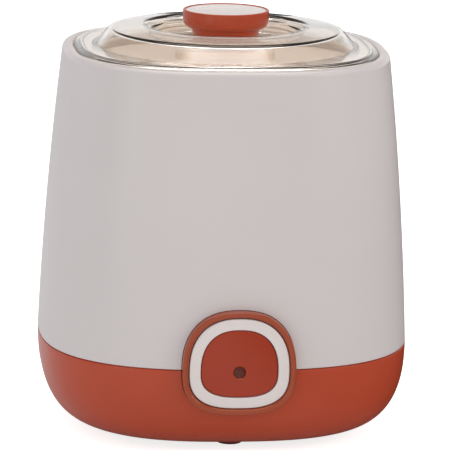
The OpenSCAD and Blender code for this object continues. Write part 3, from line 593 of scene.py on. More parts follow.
def keep_shading(obj, before):
    """Shades what is left of a piece's old surface, round what was cut or fused, as it was shaded before."""
    smooth(obj)
    old = before.data
    old_normals = [Vector(n.vector) for n in old.corner_normals]
    old_faces = [list(face.vertices) for face in old.polygons]
    tree = BVHTree.FromPolygons([v.co for v in old.vertices], old_faces)
    mesh = obj.data
    mesh.calc_loop_triangles()
    centres = {tri.polygon_index: sum((mesh.vertices[i].co for i in tri.vertices), Vector()) / 3
               for tri in mesh.loop_triangles}
    normals = [Vector(n.vector) for n in mesh.corner_normals]
    for face in mesh.polygons:
        _, direction, index, distance = tree.find_nearest(centres[face.index])
        if distance > 0.01 * MM or direction.dot(face.normal) < 0.9:
            continue
        corners = [old.vertices[i].co for i in old_faces[index]]
        shades = [old_normals[k] for k in old.polygons[index].loop_indices]
        for loop in face.loop_indices:
            shares = poly_3d_calc(corners, mesh.vertices[mesh.loops[loop].vertex_index].co)
            normals[loop] = sum((n * share for n, share in zip(shades, shares)), Vector()).normalized()
    mesh.normals_split_custom_set(normals)
    bpy.data.objects.remove(before)
    return obj


# -------- housing and base


def side_r(z):
    """Half-width of the housing's outside at height z."""
    t = (z - SEAM_Z) / (BODY_TOP - SEAM_Z)
    return BODY_R + (RIM_R - BODY_R) * t + 4 * SIDE_BOW * t * (1 - t)


def steps_between(start, end, count):
    """Numbers from start to end, evenly spaced."""
    return [start + (end - start) * k / count for k in range(count + 1)]


def base_curve(angle, flat, wide, lowest):
    """A point of the base's curve, from the underside at 90 degrees up to the seam at 0."""
    a = math.radians(angle)
    return (flat + (wide - flat) * max(math.cos(a), 0) ** (2 / BASE_ROUND),
            SEAM_Z - (SEAM_Z - lowest) * math.sin(a) ** (2 / BASE_ROUND))


def panel_outline(name, upper, half, z, square):
    """Half of the panel's outline, above or below its widest level, open in edit mode and selected."""
    obj = soft_square_outline(name, 1, z, square)
    close_edit()
    for point in obj.data.vertices:
        point.select = point.co.y * upper < -0.001 * MM
    for edge in obj.data.edges:
        edge.select = all(obj.data.vertices[i].select for i in edge.vertices)
    edit(obj)
    bpy.ops.mesh.select_mode(type="VERT")
    bpy.ops.mesh.delete(type="VERT")
    select_all()
    bpy.ops.transform.resize(value=(half[0], half[1], 1), center_override=(0, 0, 0))
    return obj


def panel_piece(name, rings, closed=False):
    """A piece with the panel's outline, made upright from rings of (inset, height, share of the width)."""
    rings = [(ring[0], ring[1], ring[2] if len(ring) > 2 else 1) for ring in rings]
    if closed:
        rings = rings + rings[:1]
    halves = []
    for upper, reach, square in ((1, PANEL_UP, UPPER_SQUARE), (-1, PANEL_DOWN, LOWER_SQUARE)):
        sizes = [((PANEL_HALF - inset) * share, (reach - inset) * share, z) for inset, z, share in rings]
        obj = panel_outline(name, upper, sizes[0][:2], sizes[0][2], square)
        for (w0, h0, z0), (w1, h1, z1) in zip(sizes, sizes[1:]):
            extrude_up(z1 - z0, w1 / w0, h1 / h0)
        close_edit()
        halves.append(obj)
    obj = join(*halves)
    obj.name = name
    merge_and_face_out(obj)
    return obj


def dome_front(obj, front):
    """Bends the front of a panel piece back onto the panel's dome; what lies deeper stays."""
    middle = Vector((0, (PANEL_UP - PANEL_DOWN) / 2 * MM))
    for point in obj.data.vertices:
        if point.co.z > (front - DOME_DEPTH) * MM:
            away = (point.co.xy - middle).length / MM
            point.co.z -= (PANEL_DOME_R - math.sqrt(PANEL_DOME_R ** 2 - away ** 2)) * MM


def set_in_panel(obj, front):
    """Domes a closed panel piece, shades it, and puts it in its place."""
    dome_front(obj, front)
    merge_and_face_out(obj)
    smooth(obj, 50)
    return face_front(obj, z=PANEL_Z)


def panel_hole():
    """The block that cuts the panel's opening out of the housing and the base."""
    block = panel_piece("panel_hole", [(-FIT, HOLE_BACK), (-FIT, HOLE_FRONT)])
    cap_open_rims(block)
    merge_and_face_out(block)
    return face_front(block, z=PANEL_Z)


def make_body_shell():
    """The white housing: bowed tapering sides, a rounded lip, and a ledge for the well inside it."""
    lip_low = BODY_TOP - LIP_R
    lip_out = side_r(lip_low)
    profile = arc(side_r(SEAM_Z) - SEAM_EDGE_R, SEAM_Z + SEAM_EDGE_R, SEAM_EDGE_R, -90, 0, 3)
    profile += [(side_r(z), z) for z in steps_between(SEAM_Z + 2, lip_low, 14)]
    profile += arc(lip_out - LIP_R, lip_low, LIP_R, 0, 90, 10)[1:]
    profile += arc(OPEN_R + LIP_INNER_R, BODY_TOP - LIP_INNER_R, LIP_INNER_R, 90, 180, 6)
    profile += rounded([(OPEN_R, LEDGE_Z + 1), (OPEN_R, LEDGE_Z, 0.3), (LEDGE_R, LEDGE_Z, 0.3),
                        (LEDGE_R, LEDGE_Z - LEDGE_T, 0.3), (side_r(LEDGE_Z) - WALL, LEDGE_Z - LEDGE_T)],
                       steps=2)[1:-1]
    profile += [(side_r(z) - WALL, z) for z in steps_between(LEDGE_Z - LEDGE_T, SEAM_Z, 6)]
    shell = soft_squared("housing_shell", profile, closed=True)
    before = duplicate(shell, "housing_before")
    cut(shell, panel_hole())
    return keep_shading(shell, before)


def make_base_shell():
    """The red base: a bowl with a tongue for the housing, screw towers, flared feet and a cord boss."""
    tongue_r = side_r(SEAM_Z + TONGUE_H) - WALL - LOOSE
    edge_z = SEAM_Z - GROOVE_H
    outside = [base_curve(a, FLAT_R, BODY_R, FOOT_H) for a in steps_between(90, 4.5, 22)]
    groove_r = BODY_R - GROOVE_D
    rim = rounded([(BODY_R, edge_z - 3), (BODY_R, edge_z, 0.3), (groove_r, edge_z), (groove_r, SEAM_Z),
                   (tongue_r, SEAM_Z), (tongue_r, SEAM_Z + TONGUE_H, 0.3),
                   (tongue_r - TONGUE_T, SEAM_Z + TONGUE_H, 0.3), (tongue_r - TONGUE_T, SEAM_Z - 3),
                   (BODY_R - WALL, SEAM_Z - 6)], steps=3)
    inside = [base_curve(a, FLAT_R - 1, BODY_R - WALL, FLOOR_Z) for a in steps_between(15, 90, 8)]
    shell = soft_squared("base_bowl", outside + rim + inside)
    before = duplicate(shell, "base_before")

    towers = [pin("tower", TOWER_R, FOOT_H + 0.6, TOWER_TOP, x, y) for x, y in CORNERS]
    foot = rounded([(2, FOOT_LOW), (FOOT_END_R, FOOT_LOW, 0.4), (FOOT_R - 0.1, FOOT_H - 0.2, 0.8),
                    (FOOT_R + 1.5, FOOT_H + 0.05), (FOOT_R + 1.5, FOOT_H + 1), (2, FOOT_H + 1)], steps=5)
    around = ring_places(FOOT_AT, FOOT_ANGLES)
    feet = [move(turned("foot", foot, steps=FOOT_STEPS), x, y) for x, y in around]
    boss = pin("boss", BOSS_R, 0, BOSS_LENGTH, edge=0.5, steps=FOOT_STEPS)
    face_back(boss, y=INLET_Y - BOSS_LENGTH, z=GLAND_Z)
    ribs = [box("rib", (x - RIB_T / 2, -RIB_FRONT, rib_low()), (x + RIB_T / 2, -RIB_BACK, rib_low() + RIB_H))
            for x in (-RIB_AT, RIB_AT)]
    fuse(shell, *towers, *feet, boss, *ribs)

    # from below: a recess for the screw's head, its bore, and the nest for the well's post
    stack = [("recess", SCREW_HEAD_R, -2, WEB_LOW, SMALL_STEPS),
             ("bore", SCREW_HOLE_R, WEB_LOW - 1, WEB_HIGH + 1, SCREW_STEPS),
             ("nest", POST_R + FIT, WEB_HIGH, TOWER_TOP + 2, SMALL_STEPS)]
    holes = [move(hole(*sizes), x, y) for sizes in stack for x, y in CORNERS]
    holes += [move(hole("pad_seat", PAD_R + FIT, -1, PAD_T, SEAT_STEPS), x, y) for x, y in around]
    holes.append(face_back(hole("barrel", GLAND_R + FIT, -10, 10, SEAT_STEPS), y=INLET_Y, z=GLAND_Z))
    holes.append(box("slot", (-SLOT_HALF, -SLOT_FRONT, rib_low() + 2),
                     (SLOT_HALF, -SLOT_BACK, rib_low() + RIB_H + 2), edge=0.05))
    for each in holes:
        cut(shell, each)
    cut(shell, panel_hole())
    return keep_shading(shell, before)


def rib_low():
    """Where the curve of the base lets the ribs of the control frame begin."""
    share = 1 - ((RIB_FRONT - FLAT_R) / (BODY_R - FLAT_R)) ** BASE_ROUND
    return SEAM_Z - (SEAM_Z - FOOT_H) * share ** (1 / BASE_ROUND) + WALL / 2


def make_foot_pads():
    """Four rubber pads with a softened edge and a ring moulded into their face."""
    profile = rounded([(1, PAD_RING_DEPTH), (PAD_RING_R, PAD_RING_DEPTH), (PAD_RING_R + 0.4, 0.0, 0.2),
                       (PAD_R - 0.1, 0.0, 0.5), (PAD_R, PAD_T, 0.2), (1, PAD_T)], steps=4)
    pad = turned("rubber_pad", profile, steps=FOOT_STEPS)
    pads = [move(duplicate(pad, "rubber_pad"), x, y) for x, y in ring_places(FOOT_AT, FOOT_ANGLES)]
    bpy.data.objects.remove(pad)
    return join(*pads)


def make_well_liner():
    """The white well: a flange that lies on the housing's ledge, and a pot with a hole for the plate."""
    outer_r = WELL_R + WELL_WALL
    pot = [(10, WELL_LOW)]
    pot += arc(WELL_FLOOR_R + WELL_WALL - WELL_ROUND, WELL_LOW + WELL_ROUND, WELL_ROUND, -90, 0, 6)
    pot += [(outer_r, LEDGE_Z - 2), (outer_r, SEAT_Z - 0.5), (10, SEAT_Z - 0.5)]
    liner = turned("well", pot)
    flange = rounded([(20, LEDGE_Z), (OPEN_R - LOOSE, LEDGE_Z, 0.2), (OPEN_R - LOOSE, SEAT_Z, 0.4),
                      (20, SEAT_Z)], steps=3)
    posts = [pin("post", POST_R, WEB_HIGH + FIT, WELL_LOW + 1, x, y) for x, y in CORNERS]
    lugs = [pin("lug", LUG_R, LUG_LOW, WELL_LOW + 1, x, y, edge=0.1)
            for x, y in ring_places(LUG_AT, LUG_ANGLES)]
    fuse(liner, soft_squared("flange", flange))
    fuse(liner, *posts, *lugs)
    room = [(10, WELL_FLOOR_Z)]
    room += arc(WELL_FLOOR_R - WELL_ROUND, WELL_FLOOR_Z + WELL_ROUND, WELL_ROUND, -90, 0, 8)
    room += arc(WELL_R + WELL_LIP_R, SEAT_Z - WELL_LIP_R, WELL_LIP_R, 180, 90, 8)
    room += [(WELL_R + WELL_LIP_R, SEAT_Z + 1), (10, SEAT_Z + 1)]
    cut(liner, turned("room", room))
    cut(liner, hole("plate_hole", PLATE_HOLE_R, WELL_LOW - 1, WELL_FLOOR_Z + 1, PLATE_HOLE_STEPS))
    for x, y in CORNERS:
        cut(liner, move(hole("post_hole", POST_HOLE_R, 30, POST_HOLE_TOP, SCREW_STEPS), x, y))
    smooth(liner)
    return liner


def make_cord_gland():
    """The rubber gland: a stepped collar outside, a barrel through the base, and the bore for the cord."""
    inside = INLET_Y - GLAND_LENGTH
    profile = rounded([(GLAND_BORE_R, inside, 0.3), (GLAND_R, inside, 0.5), (GLAND_R, INLET_Y),
                       (COLLAR_R, INLET_Y, 0.3), (COLLAR_R, GLAND_END - 2.0, 0.5),
                       (COLLAR_STEP_R, GLAND_END - 1.7, 0.3), (COLLAR_END_R, GLAND_END, 0.6),
                       (GLAND_BORE_R, GLAND_END, 0.4)], closed=True, steps=4)
    return face_back(turned("inlet_gland", profile, closed=True, steps=96), z=GLAND_Z)


# -------- control panel


def make_control_bezel():
    """The red bezel: a rounded bead, a shelf behind the ring, and a rim that holds it from inside."""
    bead = arc(BEAD_R, PANEL_FRONT - BEAD_R, BEAD_R, 180, 90, 7)
    fall = BEZEL_BAND - FIT - BEAD_R
    for angle in steps_between(80, 5, 8):
        a = math.radians(angle)
        bead.append((BEAD_R + fall * math.cos(a), PANEL_FRONT - BEAD_FALL * (1 - math.sin(a))))
    shelf_in = BUTTON_INSET - FIT - LOOSE
    snap_back = SNAP_FRONT - SNAP_T
    rings = [(0, FRAME_FRONT), (0, snap_back), (-SNAP_W, snap_back), (-SNAP_W, SNAP_FRONT), (0, SNAP_FRONT)]
    rings += bead
    rings += [(BEZEL_BAND - FIT, SHELF_FRONT), (shelf_in, SHELF_FRONT), (shelf_in, SHELF_BACK),
              (BEZEL_INSIDE, SHELF_BACK), (BEZEL_INSIDE, FRAME_FRONT)]
    bezel = panel_piece("panel_bezel", rings, closed=True)
    return set_in_panel(bezel, PANEL_FRONT - 1.2)


def make_trim_ring():
    """The white ring: a flat band with both edges softened."""
    inner = BUTTON_INSET - LOOSE
    rings = [(BEZEL_BAND, SHELF_FRONT)]
    rings += arc(BEZEL_BAND + RING_EDGE_R, RING_FRONT - RING_EDGE_R, RING_EDGE_R, 180, 90, 5)
    rings += [(BEZEL_BAND + 2, RING_FRONT + 0.02), (inner - 2, RING_FRONT + 0.02)]
    rings += arc(inner - RING_EDGE_R, RING_FRONT - RING_EDGE_R, RING_EDGE_R, 90, 0, 5)
    rings += [(inner, SHELF_FRONT)]
    ring = panel_piece("panel_ring", rings, closed=True)
    return set_in_panel(ring, RING_FRONT)


def make_power_button():
    """The red button: a domed cap with a skirt, two stop lugs, a stem and a hole for the lamp."""
    inner = BUTTON_INSET + BUTTON_WALL
    skirt_end = SKIRT_BACK + 1.5
    edge = BUTTON_INSET + BUTTON_EDGE_R
    rings = [(inner, skirt_end), (BUTTON_INSET, skirt_end)]
    rings += arc(edge, BUTTON_FRONT - BUTTON_EDGE_R, BUTTON_EDGE_R, 180, 90, 5)
    rings += [(edge, BUTTON_FRONT, share) for share in BUTTON_SHARES]
    outside = panel_piece("front_button", rings)
    dome_front(outside, BUTTON_FRONT)
    inside = panel_piece("button_inside", [(inner, skirt_end), (inner, BUTTON_INNER)])
    button = join(outside, inside)
    merge_and_face_out(button)
    cap_open_rims(button)
    merge_and_face_out(button)
    before = duplicate(button, "button_before")
    smooth(before, 50)
    side = PANEL_HALF - BUTTON_INSET
    lugs = [box("lug", (x - 1.8, -3, SKIRT_BACK), (x + 1.8, 3, SKIRT_BACK + 1.8)) for x in (-side, side)]
    stem = pin("stem", STEM_R, BODY_R - 9, BUTTON_INNER + 0.5, y=SWITCH_Z - PANEL_Z)
    fuse(button, *lugs, stem)
    bore = WINDOW_R + 0.05
    mouth = WINDOW_R + 0.5
    profile = [(bore, BUTTON_INNER - 2), (bore, BUTTON_FRONT - 0.42), (mouth, BUTTON_FRONT + 0.06),
               (mouth, BUTTON_FRONT + 2)]
    cut(button, move(turned("lamp_hole", profile, steps=WINDOW_STEPS), y=WINDOW_Z - PANEL_Z))
    keep_shading(button, before)
    return face_front(button, z=PANEL_Z)


def make_indicator_window():
    """The smoked lens of the lamp: a light guide with a collar and a softly crowned face."""
    guide_r = WINDOW_R - 0.3
    collar_r = WINDOW_R + WINDOW_COLLAR
    top = BUTTON_FRONT - 0.25
    profile = [(0.4, WINDOW_BACK), *arc(guide_r - 0.3, WINDOW_BACK + 0.3, 0.3, -90, -45, 2)]
    profile += rounded([(guide_r, BUTTON_INNER), (collar_r, BUTTON_INNER), (collar_r, BUTTON_INNER + 0.01),
                        (WINDOW_R, BUTTON_INNER + 0.02), (WINDOW_R, top - 0.3, 0.25),
                        (WINDOW_R - 0.9, top, 0.8), (0.4, top + 0.1)], steps=4)
    return face_front(turned("lamp_window", profile, steps=WINDOW_STEPS), z=WINDOW_Z)


def make_return_spring():
    """The coil spring between the button and the frame behind it."""
    deselect()
    bpy.ops.mesh.primitive_circle_add(vertices=12, radius=SPRING_WIRE_R * MM, rotation=(math.pi / 2, 0, 0),
                                      location=(SPRING_R * MM, 0, (SPRING_BACK + SPRING_WIRE_R) * MM))
    spring = named("return_spring")
    apply_place(spring)
    coil = spring.modifiers.new("coil", "SCREW")
    coil.angle = 2 * math.pi
    coil.iterations = SPRING_TURNS
    coil.screw_offset = (SPRING_FRONT - SPRING_BACK - 2 * SPRING_WIRE_R) / SPRING_TURNS * MM
    coil.steps = coil.render_steps = SPRING_STEPS
    apply_modifier(spring, coil)
    cap_open_rims(spring)
    merge_and_face_out(spring)
    smooth(spring)
    return face_front(spring, z=SWITCH_Z)



# -------- jar


def make_jar():
    """The milky jar: a rounded foot with a standing ring, a slight taper, and a turned-out rim."""
    round_r = JAR_FOOT_R - JAR_ROUND
    inner_r = JAR_R - JAR_WALL
    rim_low = JAR_TOP - JAR_RIM_DROP
    ring_r = round_r - 4
    profile = [(0.5, JAR_LOW + 1), (ring_r - JAR_RING, JAR_LOW + 1)]
    profile += rounded([(ring_r - JAR_RING, JAR_LOW + 1), (ring_r, JAR_LOW, 0.5),
                        (round_r, JAR_LOW)], steps=3)[1:]
    profile += arc(round_r, JAR_LOW + JAR_ROUND, JAR_ROUND, -90, 0, 12)[1:]
    profile += rounded([(JAR_FOOT_R, JAR_LOW + JAR_ROUND), (JAR_R, rim_low, 0.3), (JAR_RIM_R, rim_low, 0.4),
                        (JAR_RIM_R, JAR_TOP, 1.0), (inner_r, JAR_TOP, 0.6), (inner_r, rim_low)], steps=5)[1:]
    profile += arc(round_r, JAR_LOW + JAR_ROUND, JAR_ROUND - JAR_WALL, 0, -90, 12)
    profile += [(ring_r, JAR_LOW + JAR_WALL + 1), (0.5, JAR_LOW + JAR_WALL + 1)]
    return turned("milk_jar", profile)


def make_jar_cover():
    """The jar's lid: a plate with a plug ring under it and a bar with round ends to lift it by."""
    plug_in = PLUG_R - PLUG_T
    top = rounded([(0.5, COVER_LOW), (plug_in, COVER_LOW, 0.4), (plug_in, COVER_LOW - PLUG_DEPTH, 0.5),
                   (PLUG_R, COVER_LOW - PLUG_DEPTH, 0.5), (PLUG_R, COVER_LOW), (JAR_RIM_R, COVER_LOW, 0.3),
                   (JAR_RIM_R, COVER_TOP, 0.7), (JAR_RIM_R - 3.4, COVER_TOP, 0.3),
                   (JAR_RIM_R - 4.0, COVER_TOP - COVER_STEP, 0.3), (0.5, COVER_TOP - COVER_STEP)], steps=4)
    cover = turned("jar_lid", top)
    deselect()
    bar_low = COVER_TOP - GRIP_SUNK
    bpy.ops.mesh.primitive_plane_add(size=1, location=(0, 0, bar_low * MM))
    bpy.context.object.scale = (GRIP_L * MM, GRIP_W * MM, 1)
    bar = open_primitive("grip_bar")
    bpy.ops.mesh.bevel(offset=GRIP_W / 2 * MM * 0.999, affect="VERTICES", segments=16)
    select_all()
    bpy.ops.mesh.extrude_region_move(TRANSFORM_OT_translate={"value": (0, 0, (GRIP_TOP - bar_low) * MM)})
    bpy.ops.mesh.bevel(offset=GRIP_EDGE * MM, segments=5)
    close_edit()
    merge_and_face_out(bar)
    fuse(cover, bar)
    smooth(cover)
    return cover


# -------- clear lid and its grip


def lid_section(t):
    """Half-width and height along the raised ring and the recess, from the flat inwards, drawn in by t."""
    wall = math.atan2(SHOULDER_H, DOME_R - SHOULDER_R)
    shoulder = Vector((SHOULDER_R, FLAT_Z + SHOULDER_H))
    edge = Vector((RECESS_R + RECESS_ROUND, CROWN_Z - RECESS_ROUND))
    away = shoulder - edge
    top = math.atan2(-away.y, away.x) + math.asin(RECESS_ROUND / away.length)
    out = Vector((math.sin(wall), math.cos(wall)))
    up = Vector((math.sin(top), math.cos(top)))
    centre = shoulder - SHOULDER_ROUND * (out + up) / (1 + out.dot(up))
    foot = Vector((DOME_R - t * math.tan(wall / 2), FLAT_Z - t))
    bend = arc(centre.x, centre.y, SHOULDER_ROUND - t, 90 - math.degrees(wall), 90 - math.degrees(top), 12)
    rim = arc(edge.x, edge.y, RECESS_ROUND - t, 90 - math.degrees(top), 180, 10)
    points = [tuple(foot), *between(foot, bend[0]), *bend, *between(bend[-1], rim[0]), *rim]
    floor_r = RECESS_R - RECESS_SLANT - RECESS_ROUND
    return points + arc(floor_r, RECESS_Z + RECESS_ROUND, RECESS_ROUND + t, 0, -90, 8)


def between(start, end):
    """Two points close to the ends of a straight stretch, which keep its shading straight."""
    line = Vector(end) - Vector(start)
    step = line.normalized() * 0.3
    return [tuple(Vector(start) + step), tuple(Vector(end) - step)]


def make_clear_lid():
    """The clear lid: a stepped edge, a round raised ring, a finger recess and a locating ring."""
    flat_r = LID_R - LID_EDGE_W
    under = FLAT_Z - LID_T
    # from the grip's hole out over the recess and the raised ring to the flat
    outer = lid_section(0)
    top = strip("lid_top", round_outline,
                rounded([(DOME_R + 1.6, FLAT_Z), (DOME_R, FLAT_Z, 1.0), outer[2]], steps=5) + outer[3:]
                + [(KNOB_HOLE_R, RECESS_Z), (KNOB_HOLE_R, RECESS_Z - LID_T)])
    # the soft-square edge with its step
    edge = strip("lid_edge", soft_square_outline,
                 rounded([(flat_r - 2.5, FLAT_Z), (flat_r, FLAT_Z, 0.8), (flat_r, LID_EDGE_Z, 0.45),
                          (LID_R, LID_EDGE_Z, 0.6), (LID_R, LID_LOW, 0.4), (flat_r - LID_T, LID_LOW, 0.3),
                          (flat_r - LID_T, under, 0.4), (flat_r - LID_T - 1.5, under)], steps=5))
    # the locating ring and the underside of the raised ring
    inner = lid_section(LID_T)
    ring = strip("lid_ring", round_outline,
                 rounded([(SPIGOT_R + 0.6, under), (SPIGOT_R, under, 0.4), (SPIGOT_R, SPIGOT_LOW, 0.5),
                          (SPIGOT_R - SPIGOT_T, SPIGOT_LOW, 0.5), (SPIGOT_R - SPIGOT_T, under - 0.3, 0.3),
                          (*inner[0], 0.5), inner[1]], steps=4)
                 + inner[2:] + [(KNOB_HOLE_R, RECESS_Z - LID_T)])
    lid = join(top, edge, ring)
    merge_and_face_out(lid)
    fill_at(lid, FLAT_Z)
    fill_at(lid, under)
    lid.name = "dome_lid"
    merge_and_face_out(lid)
    smooth(lid, 40)
    return lid


def make_lid_knob():
    """The red grip: a flared neck, a round-bottomed bowl with a thin rim, and a boss for its screw."""
    profile = [(KNOB_BORE_R, RECESS_Z)]
    neck_h = BOWL_LOW - RECESS_Z
    neck = [(NECK_R + NECK_FLARE * t * t, RECESS_Z + neck_h * t) for t in steps_between(0, 1, 8)]
    profile += rounded([(KNOB_BORE_R, RECESS_Z), (NECK_R, RECESS_Z, 0.3), neck[1]], steps=3)[1:]
    profile += neck[2:]
    inner_r = KNOB_R - KNOB_WALL
    profile += arc(KNOB_R - BOWL_R, BOWL_LOW + 4, BOWL_R, -60, 0, 10)
    profile += rounded([(KNOB_R, BOWL_LOW + 5), (KNOB_R, KNOB_TOP, 0.45), (inner_r, KNOB_TOP, 0.35),
                        (inner_r, CAP_SEAT), (inner_r - 1.6, CAP_SEAT)], steps=4)
    profile += [(inner_r - 2.4, BOWL_LOW + 4), (NECK_R - 1, BOWL_LOW + 1), (NECK_R - 1.6, RECESS_Z + 2),
                (4, RECESS_Z + 2), (4, CAP_SEAT - 1.5), (KNOB_BORE_R, CAP_SEAT - 1.5)]
    return turned("grip", profile, closed=True, angle=28)


def make_knob_cap():
    """The white disc in the grip's top, slightly domed, with a softened edge."""
    rise = high("knob_cap").z - CAP_EDGE
    ball_r = (CAP_R ** 2 + rise ** 2) / (2 * rise)
    centre = CAP_EDGE + rise - ball_r
    dome = [(r, centre + math.sqrt(ball_r ** 2 - r ** 2)) for r in steps_between(CAP_R - 0.3, 0.5, 12)]
    profile = [(0.5, CAP_SEAT), (CAP_R - 0.2, CAP_SEAT), (CAP_R, CAP_SEAT + 0.2), (CAP_R, CAP_EDGE - 0.25),
               (CAP_R - 0.08, CAP_EDGE - 0.08)] + dome
    return turned("grip_disc", profile, angle=60)


# -------- finishes


def opaque(color):
    return (*color, 1)


def fill(tree, node, values):
    """Gives a node's inputs their values; a value that comes out of another node is linked."""
    for name, value in values.items():
        if isinstance(value, bpy.types.NodeSocket):
            tree.links.new(value, node.inputs[name])
        else:
            node.inputs[name].default_value = value


def add(tree, kind, values=None, output=0, **settings):
    """Adds a shader node and returns one of its outputs."""
    node = tree.nodes.new("ShaderNode" + kind)
    for name, setting in settings.items():
        setattr(node, name, setting)
    fill(tree, node, values or {})
    return node.outputs[output]


def new_finish(name, color, roughness, metallic=0.0):
    """A material with its nodes and its shader, ready for a pattern."""
    material = bpy.data.materials.new(name)
    material.use_nodes = True
    tree = material.node_tree
    shader = tree.nodes["Principled BSDF"]
    fill(tree, shader, {"Base Color": opaque(color), "Roughness": roughness, "Metallic": metallic})
    return material, tree, shader


def place_nodes(tree):
    """The point of the surface in the piece's own space, in metres."""
    return add(tree, "TexCoord", output="Object")


def split(tree, vector):
    """The three parts of a vector."""
    node = tree.nodes.new("ShaderNodeSeparateXYZ")
    fill(tree, node, {"Vector": vector})
    return node.outputs


def stretched(tree, scale):
    """The same point with its axes scaled, for grain that runs one way."""
    return add(tree, "Mapping", {"Vector": place_nodes(tree), "Scale": scale}, "Vector")


def noise(tree, size, detail, vector=None):
    """Soft random spots of about that size in millimetres."""
    return add(tree, "TexNoise", {"Vector": vector or place_nodes(tree), "Scale": 1 / (size * MM),
                                  "Detail": detail}, "Fac")


def spread(tree, value, lowest, highest):
    """Spreads a 0 to 1 value between two numbers; noise stays mostly in its middle third."""
    return add(tree, "MapRange", {"Value": value, "From Min": NOISE_ENDS[0], "From Max": NOISE_ENDS[1],
                                  "To Min": lowest, "To Max": highest}, "Result")


def ramp(tree, value, start, end, lowest=0.0, highest=1.0):
    """A soft step of a value, from one number at its start to another at its end."""
    return add(tree, "MapRange", {"Value": value, "From Min": start, "From Max": end,
                                  "To Min": lowest, "To Max": highest}, "Result",
               interpolation_type="SMOOTHSTEP")


def reckoned(tree, operation, *values):
    """One value made from several by a Math node's operation, taken in turn."""
    result = values[0]
    for value in values[1:]:
        result = add(tree, "Math", {0: result, 1: value}, operation=operation)
    return result


def greatest(tree, *values):
    return reckoned(tree, "MAXIMUM", *values)


def blended(tree, share, color, other):
    """Two colours mixed by a 0 to 1 value."""
    return add(tree, "Mix", {"Factor": share, "A": opaque(color), "B": opaque(other)}, "Result",
               data_type="RGBA")


def mixed(tree, share, shader, other):
    """Two shaders mixed by a 0 to 1 value."""
    return add(tree, "MixShader", {"Fac": share, 1: shader, 2: other})


def shaded(color, factor):
    return tuple(min(c * factor, 1) for c in color)


def clouded(tree, color, size, detail, darkest, lightest):
    """A colour with soft clouds of about that size, from a darker shade of it to a lighter one."""
    share = spread(tree, noise(tree, size, detail), 0, 1)
    return blended(tree, share, shaded(color, darkest), shaded(color, lightest))


def uneven(tree, roughness, pattern, least, most):
    """A roughness that a pattern moves between two shares of it."""
    return spread(tree, pattern, roughness * least, roughness * most)


def bump(tree, shader, height, depth):
    """Raises the surface by up to depth millimetres."""
    fill(tree, shader, {"Normal": add(tree, "Bump", {"Height": height, "Distance": depth * MM}, "Normal")})


def moulded_plastic(name, color, roughness, variation=0.04, grain=0.0015, cloud=45, shine=0.5):
    """Injection-moulded plastic: faint clouds in its colour, a fine skin, and slightly uneven gloss."""
    material, tree, shader = new_finish(name, color, roughness)
    fill(tree, shader, {"Base Color": clouded(tree, color, cloud, 3, 1 - variation, 1 + variation),
                        "Roughness": uneven(tree, roughness, noise(tree, 14, 3), 0.92, 1.1),
                        "Specular IOR Level": shine})
    bump(tree, shader, noise(tree, 0.5, 2), grain)
    return material


def milky_plastic(name, color, roughness):
    """Translucent polypropylene: light passes a little way into it."""
    material = moulded_plastic(name, color, roughness, variation=0.02, grain=0.006, cloud=25)
    tree = material.node_tree
    fill(tree, tree.nodes["Principled BSDF"], {"Subsurface Weight": 0.35,
                                               "Subsurface Radius": (1.0, 0.9, 0.75),
                                               "Subsurface Scale": 2.5 * MM})
    return material


def clear_plastic(name, color, roughness):
    """Clear moulded plastic that lets lamps through, with a very faint flow ripple."""
    material, tree, shader = new_finish(name, color, roughness)
    fill(tree, shader, {"Transmission Weight": 1.0, "IOR": 1.5,
                        "Roughness": uneven(tree, roughness, noise(tree, 6, 4), 0.5, 1.6)})
    bump(tree, shader, noise(tree, 14, 1), 0.02)
    open_way = add(tree, "BsdfTransparent", {"Color": opaque(shaded(color, 0.97))})
    ray = tree.nodes.new("ShaderNodeLightPath").outputs
    passing = greatest(tree, ray["Is Shadow Ray"], ray["Is Diffuse Ray"])
    fill(tree, tree.nodes["Material Output"],
         {"Surface": mixed(tree, passing, shader.outputs["BSDF"], open_way)})
    return material


def smoked_lens(name, color, roughness):
    """A lens over a lamp: deep colour that varies a little, and a smooth face."""
    material, tree, shader = new_finish(name, color, roughness)
    fill(tree, shader, {"Base Color": clouded(tree, color, 1.6, 3, 0.8, 1.35), "Specular IOR Level": 0.3})
    bump(tree, shader, noise(tree, 0.7, 2), 0.01)
    return material


def brushed_metal(name, color, roughness, grain=(1, 14, 1), size=0.5):
    """Metal with fine lines along one way and slightly uneven gloss."""
    material, tree, shader = new_finish(name, color, roughness, metallic=1.0)
    lines = noise(tree, size, 5, stretched(tree, grain))
    fill(tree, shader, {"Base Color": clouded(tree, color, 12, 3, 0.92, 1.05),
                        "Roughness": uneven(tree, roughness, lines, 0.7, 1.35)})
    bump(tree, shader, lines, 0.008)
    return material


def spun_metal(name, color, roughness):
    """Metal turned about the upright axis, with fine rings round it."""
    material, tree, shader = new_finish(name, color, roughness, metallic=1.0)
    rings = add(tree, "TexWave", {"Vector": place_nodes(tree), "Scale": 320, "Distortion": 1.2,
                                  "Detail": 3}, "Fac", wave_type="RINGS", rings_direction="Z")
    fill(tree, shader, {"Base Color": clouded(tree, color, 15, 4, 0.93, 1.04),
                        "Roughness": uneven(tree, roughness, rings, 0.75, 1.3)})
    bump(tree, shader, rings, 0.006)
    return material


def soft_rubber(name, color, roughness):
    """Rubber with a dusty, fine-grained skin."""
    material, tree, shader = new_finish(name, color, roughness)
    fill(tree, shader, {"Base Color": clouded(tree, color, 3, 6, 0.85, 1.3),
                        "Roughness": uneven(tree, roughness, noise(tree, 1.2, 4), 0.85, 1.1),
                        "Sheen Weight": 0.15, "Sheen Roughness": 0.5})
    bump(tree, shader, noise(tree, 0.35, 3), 0.02)
    return material


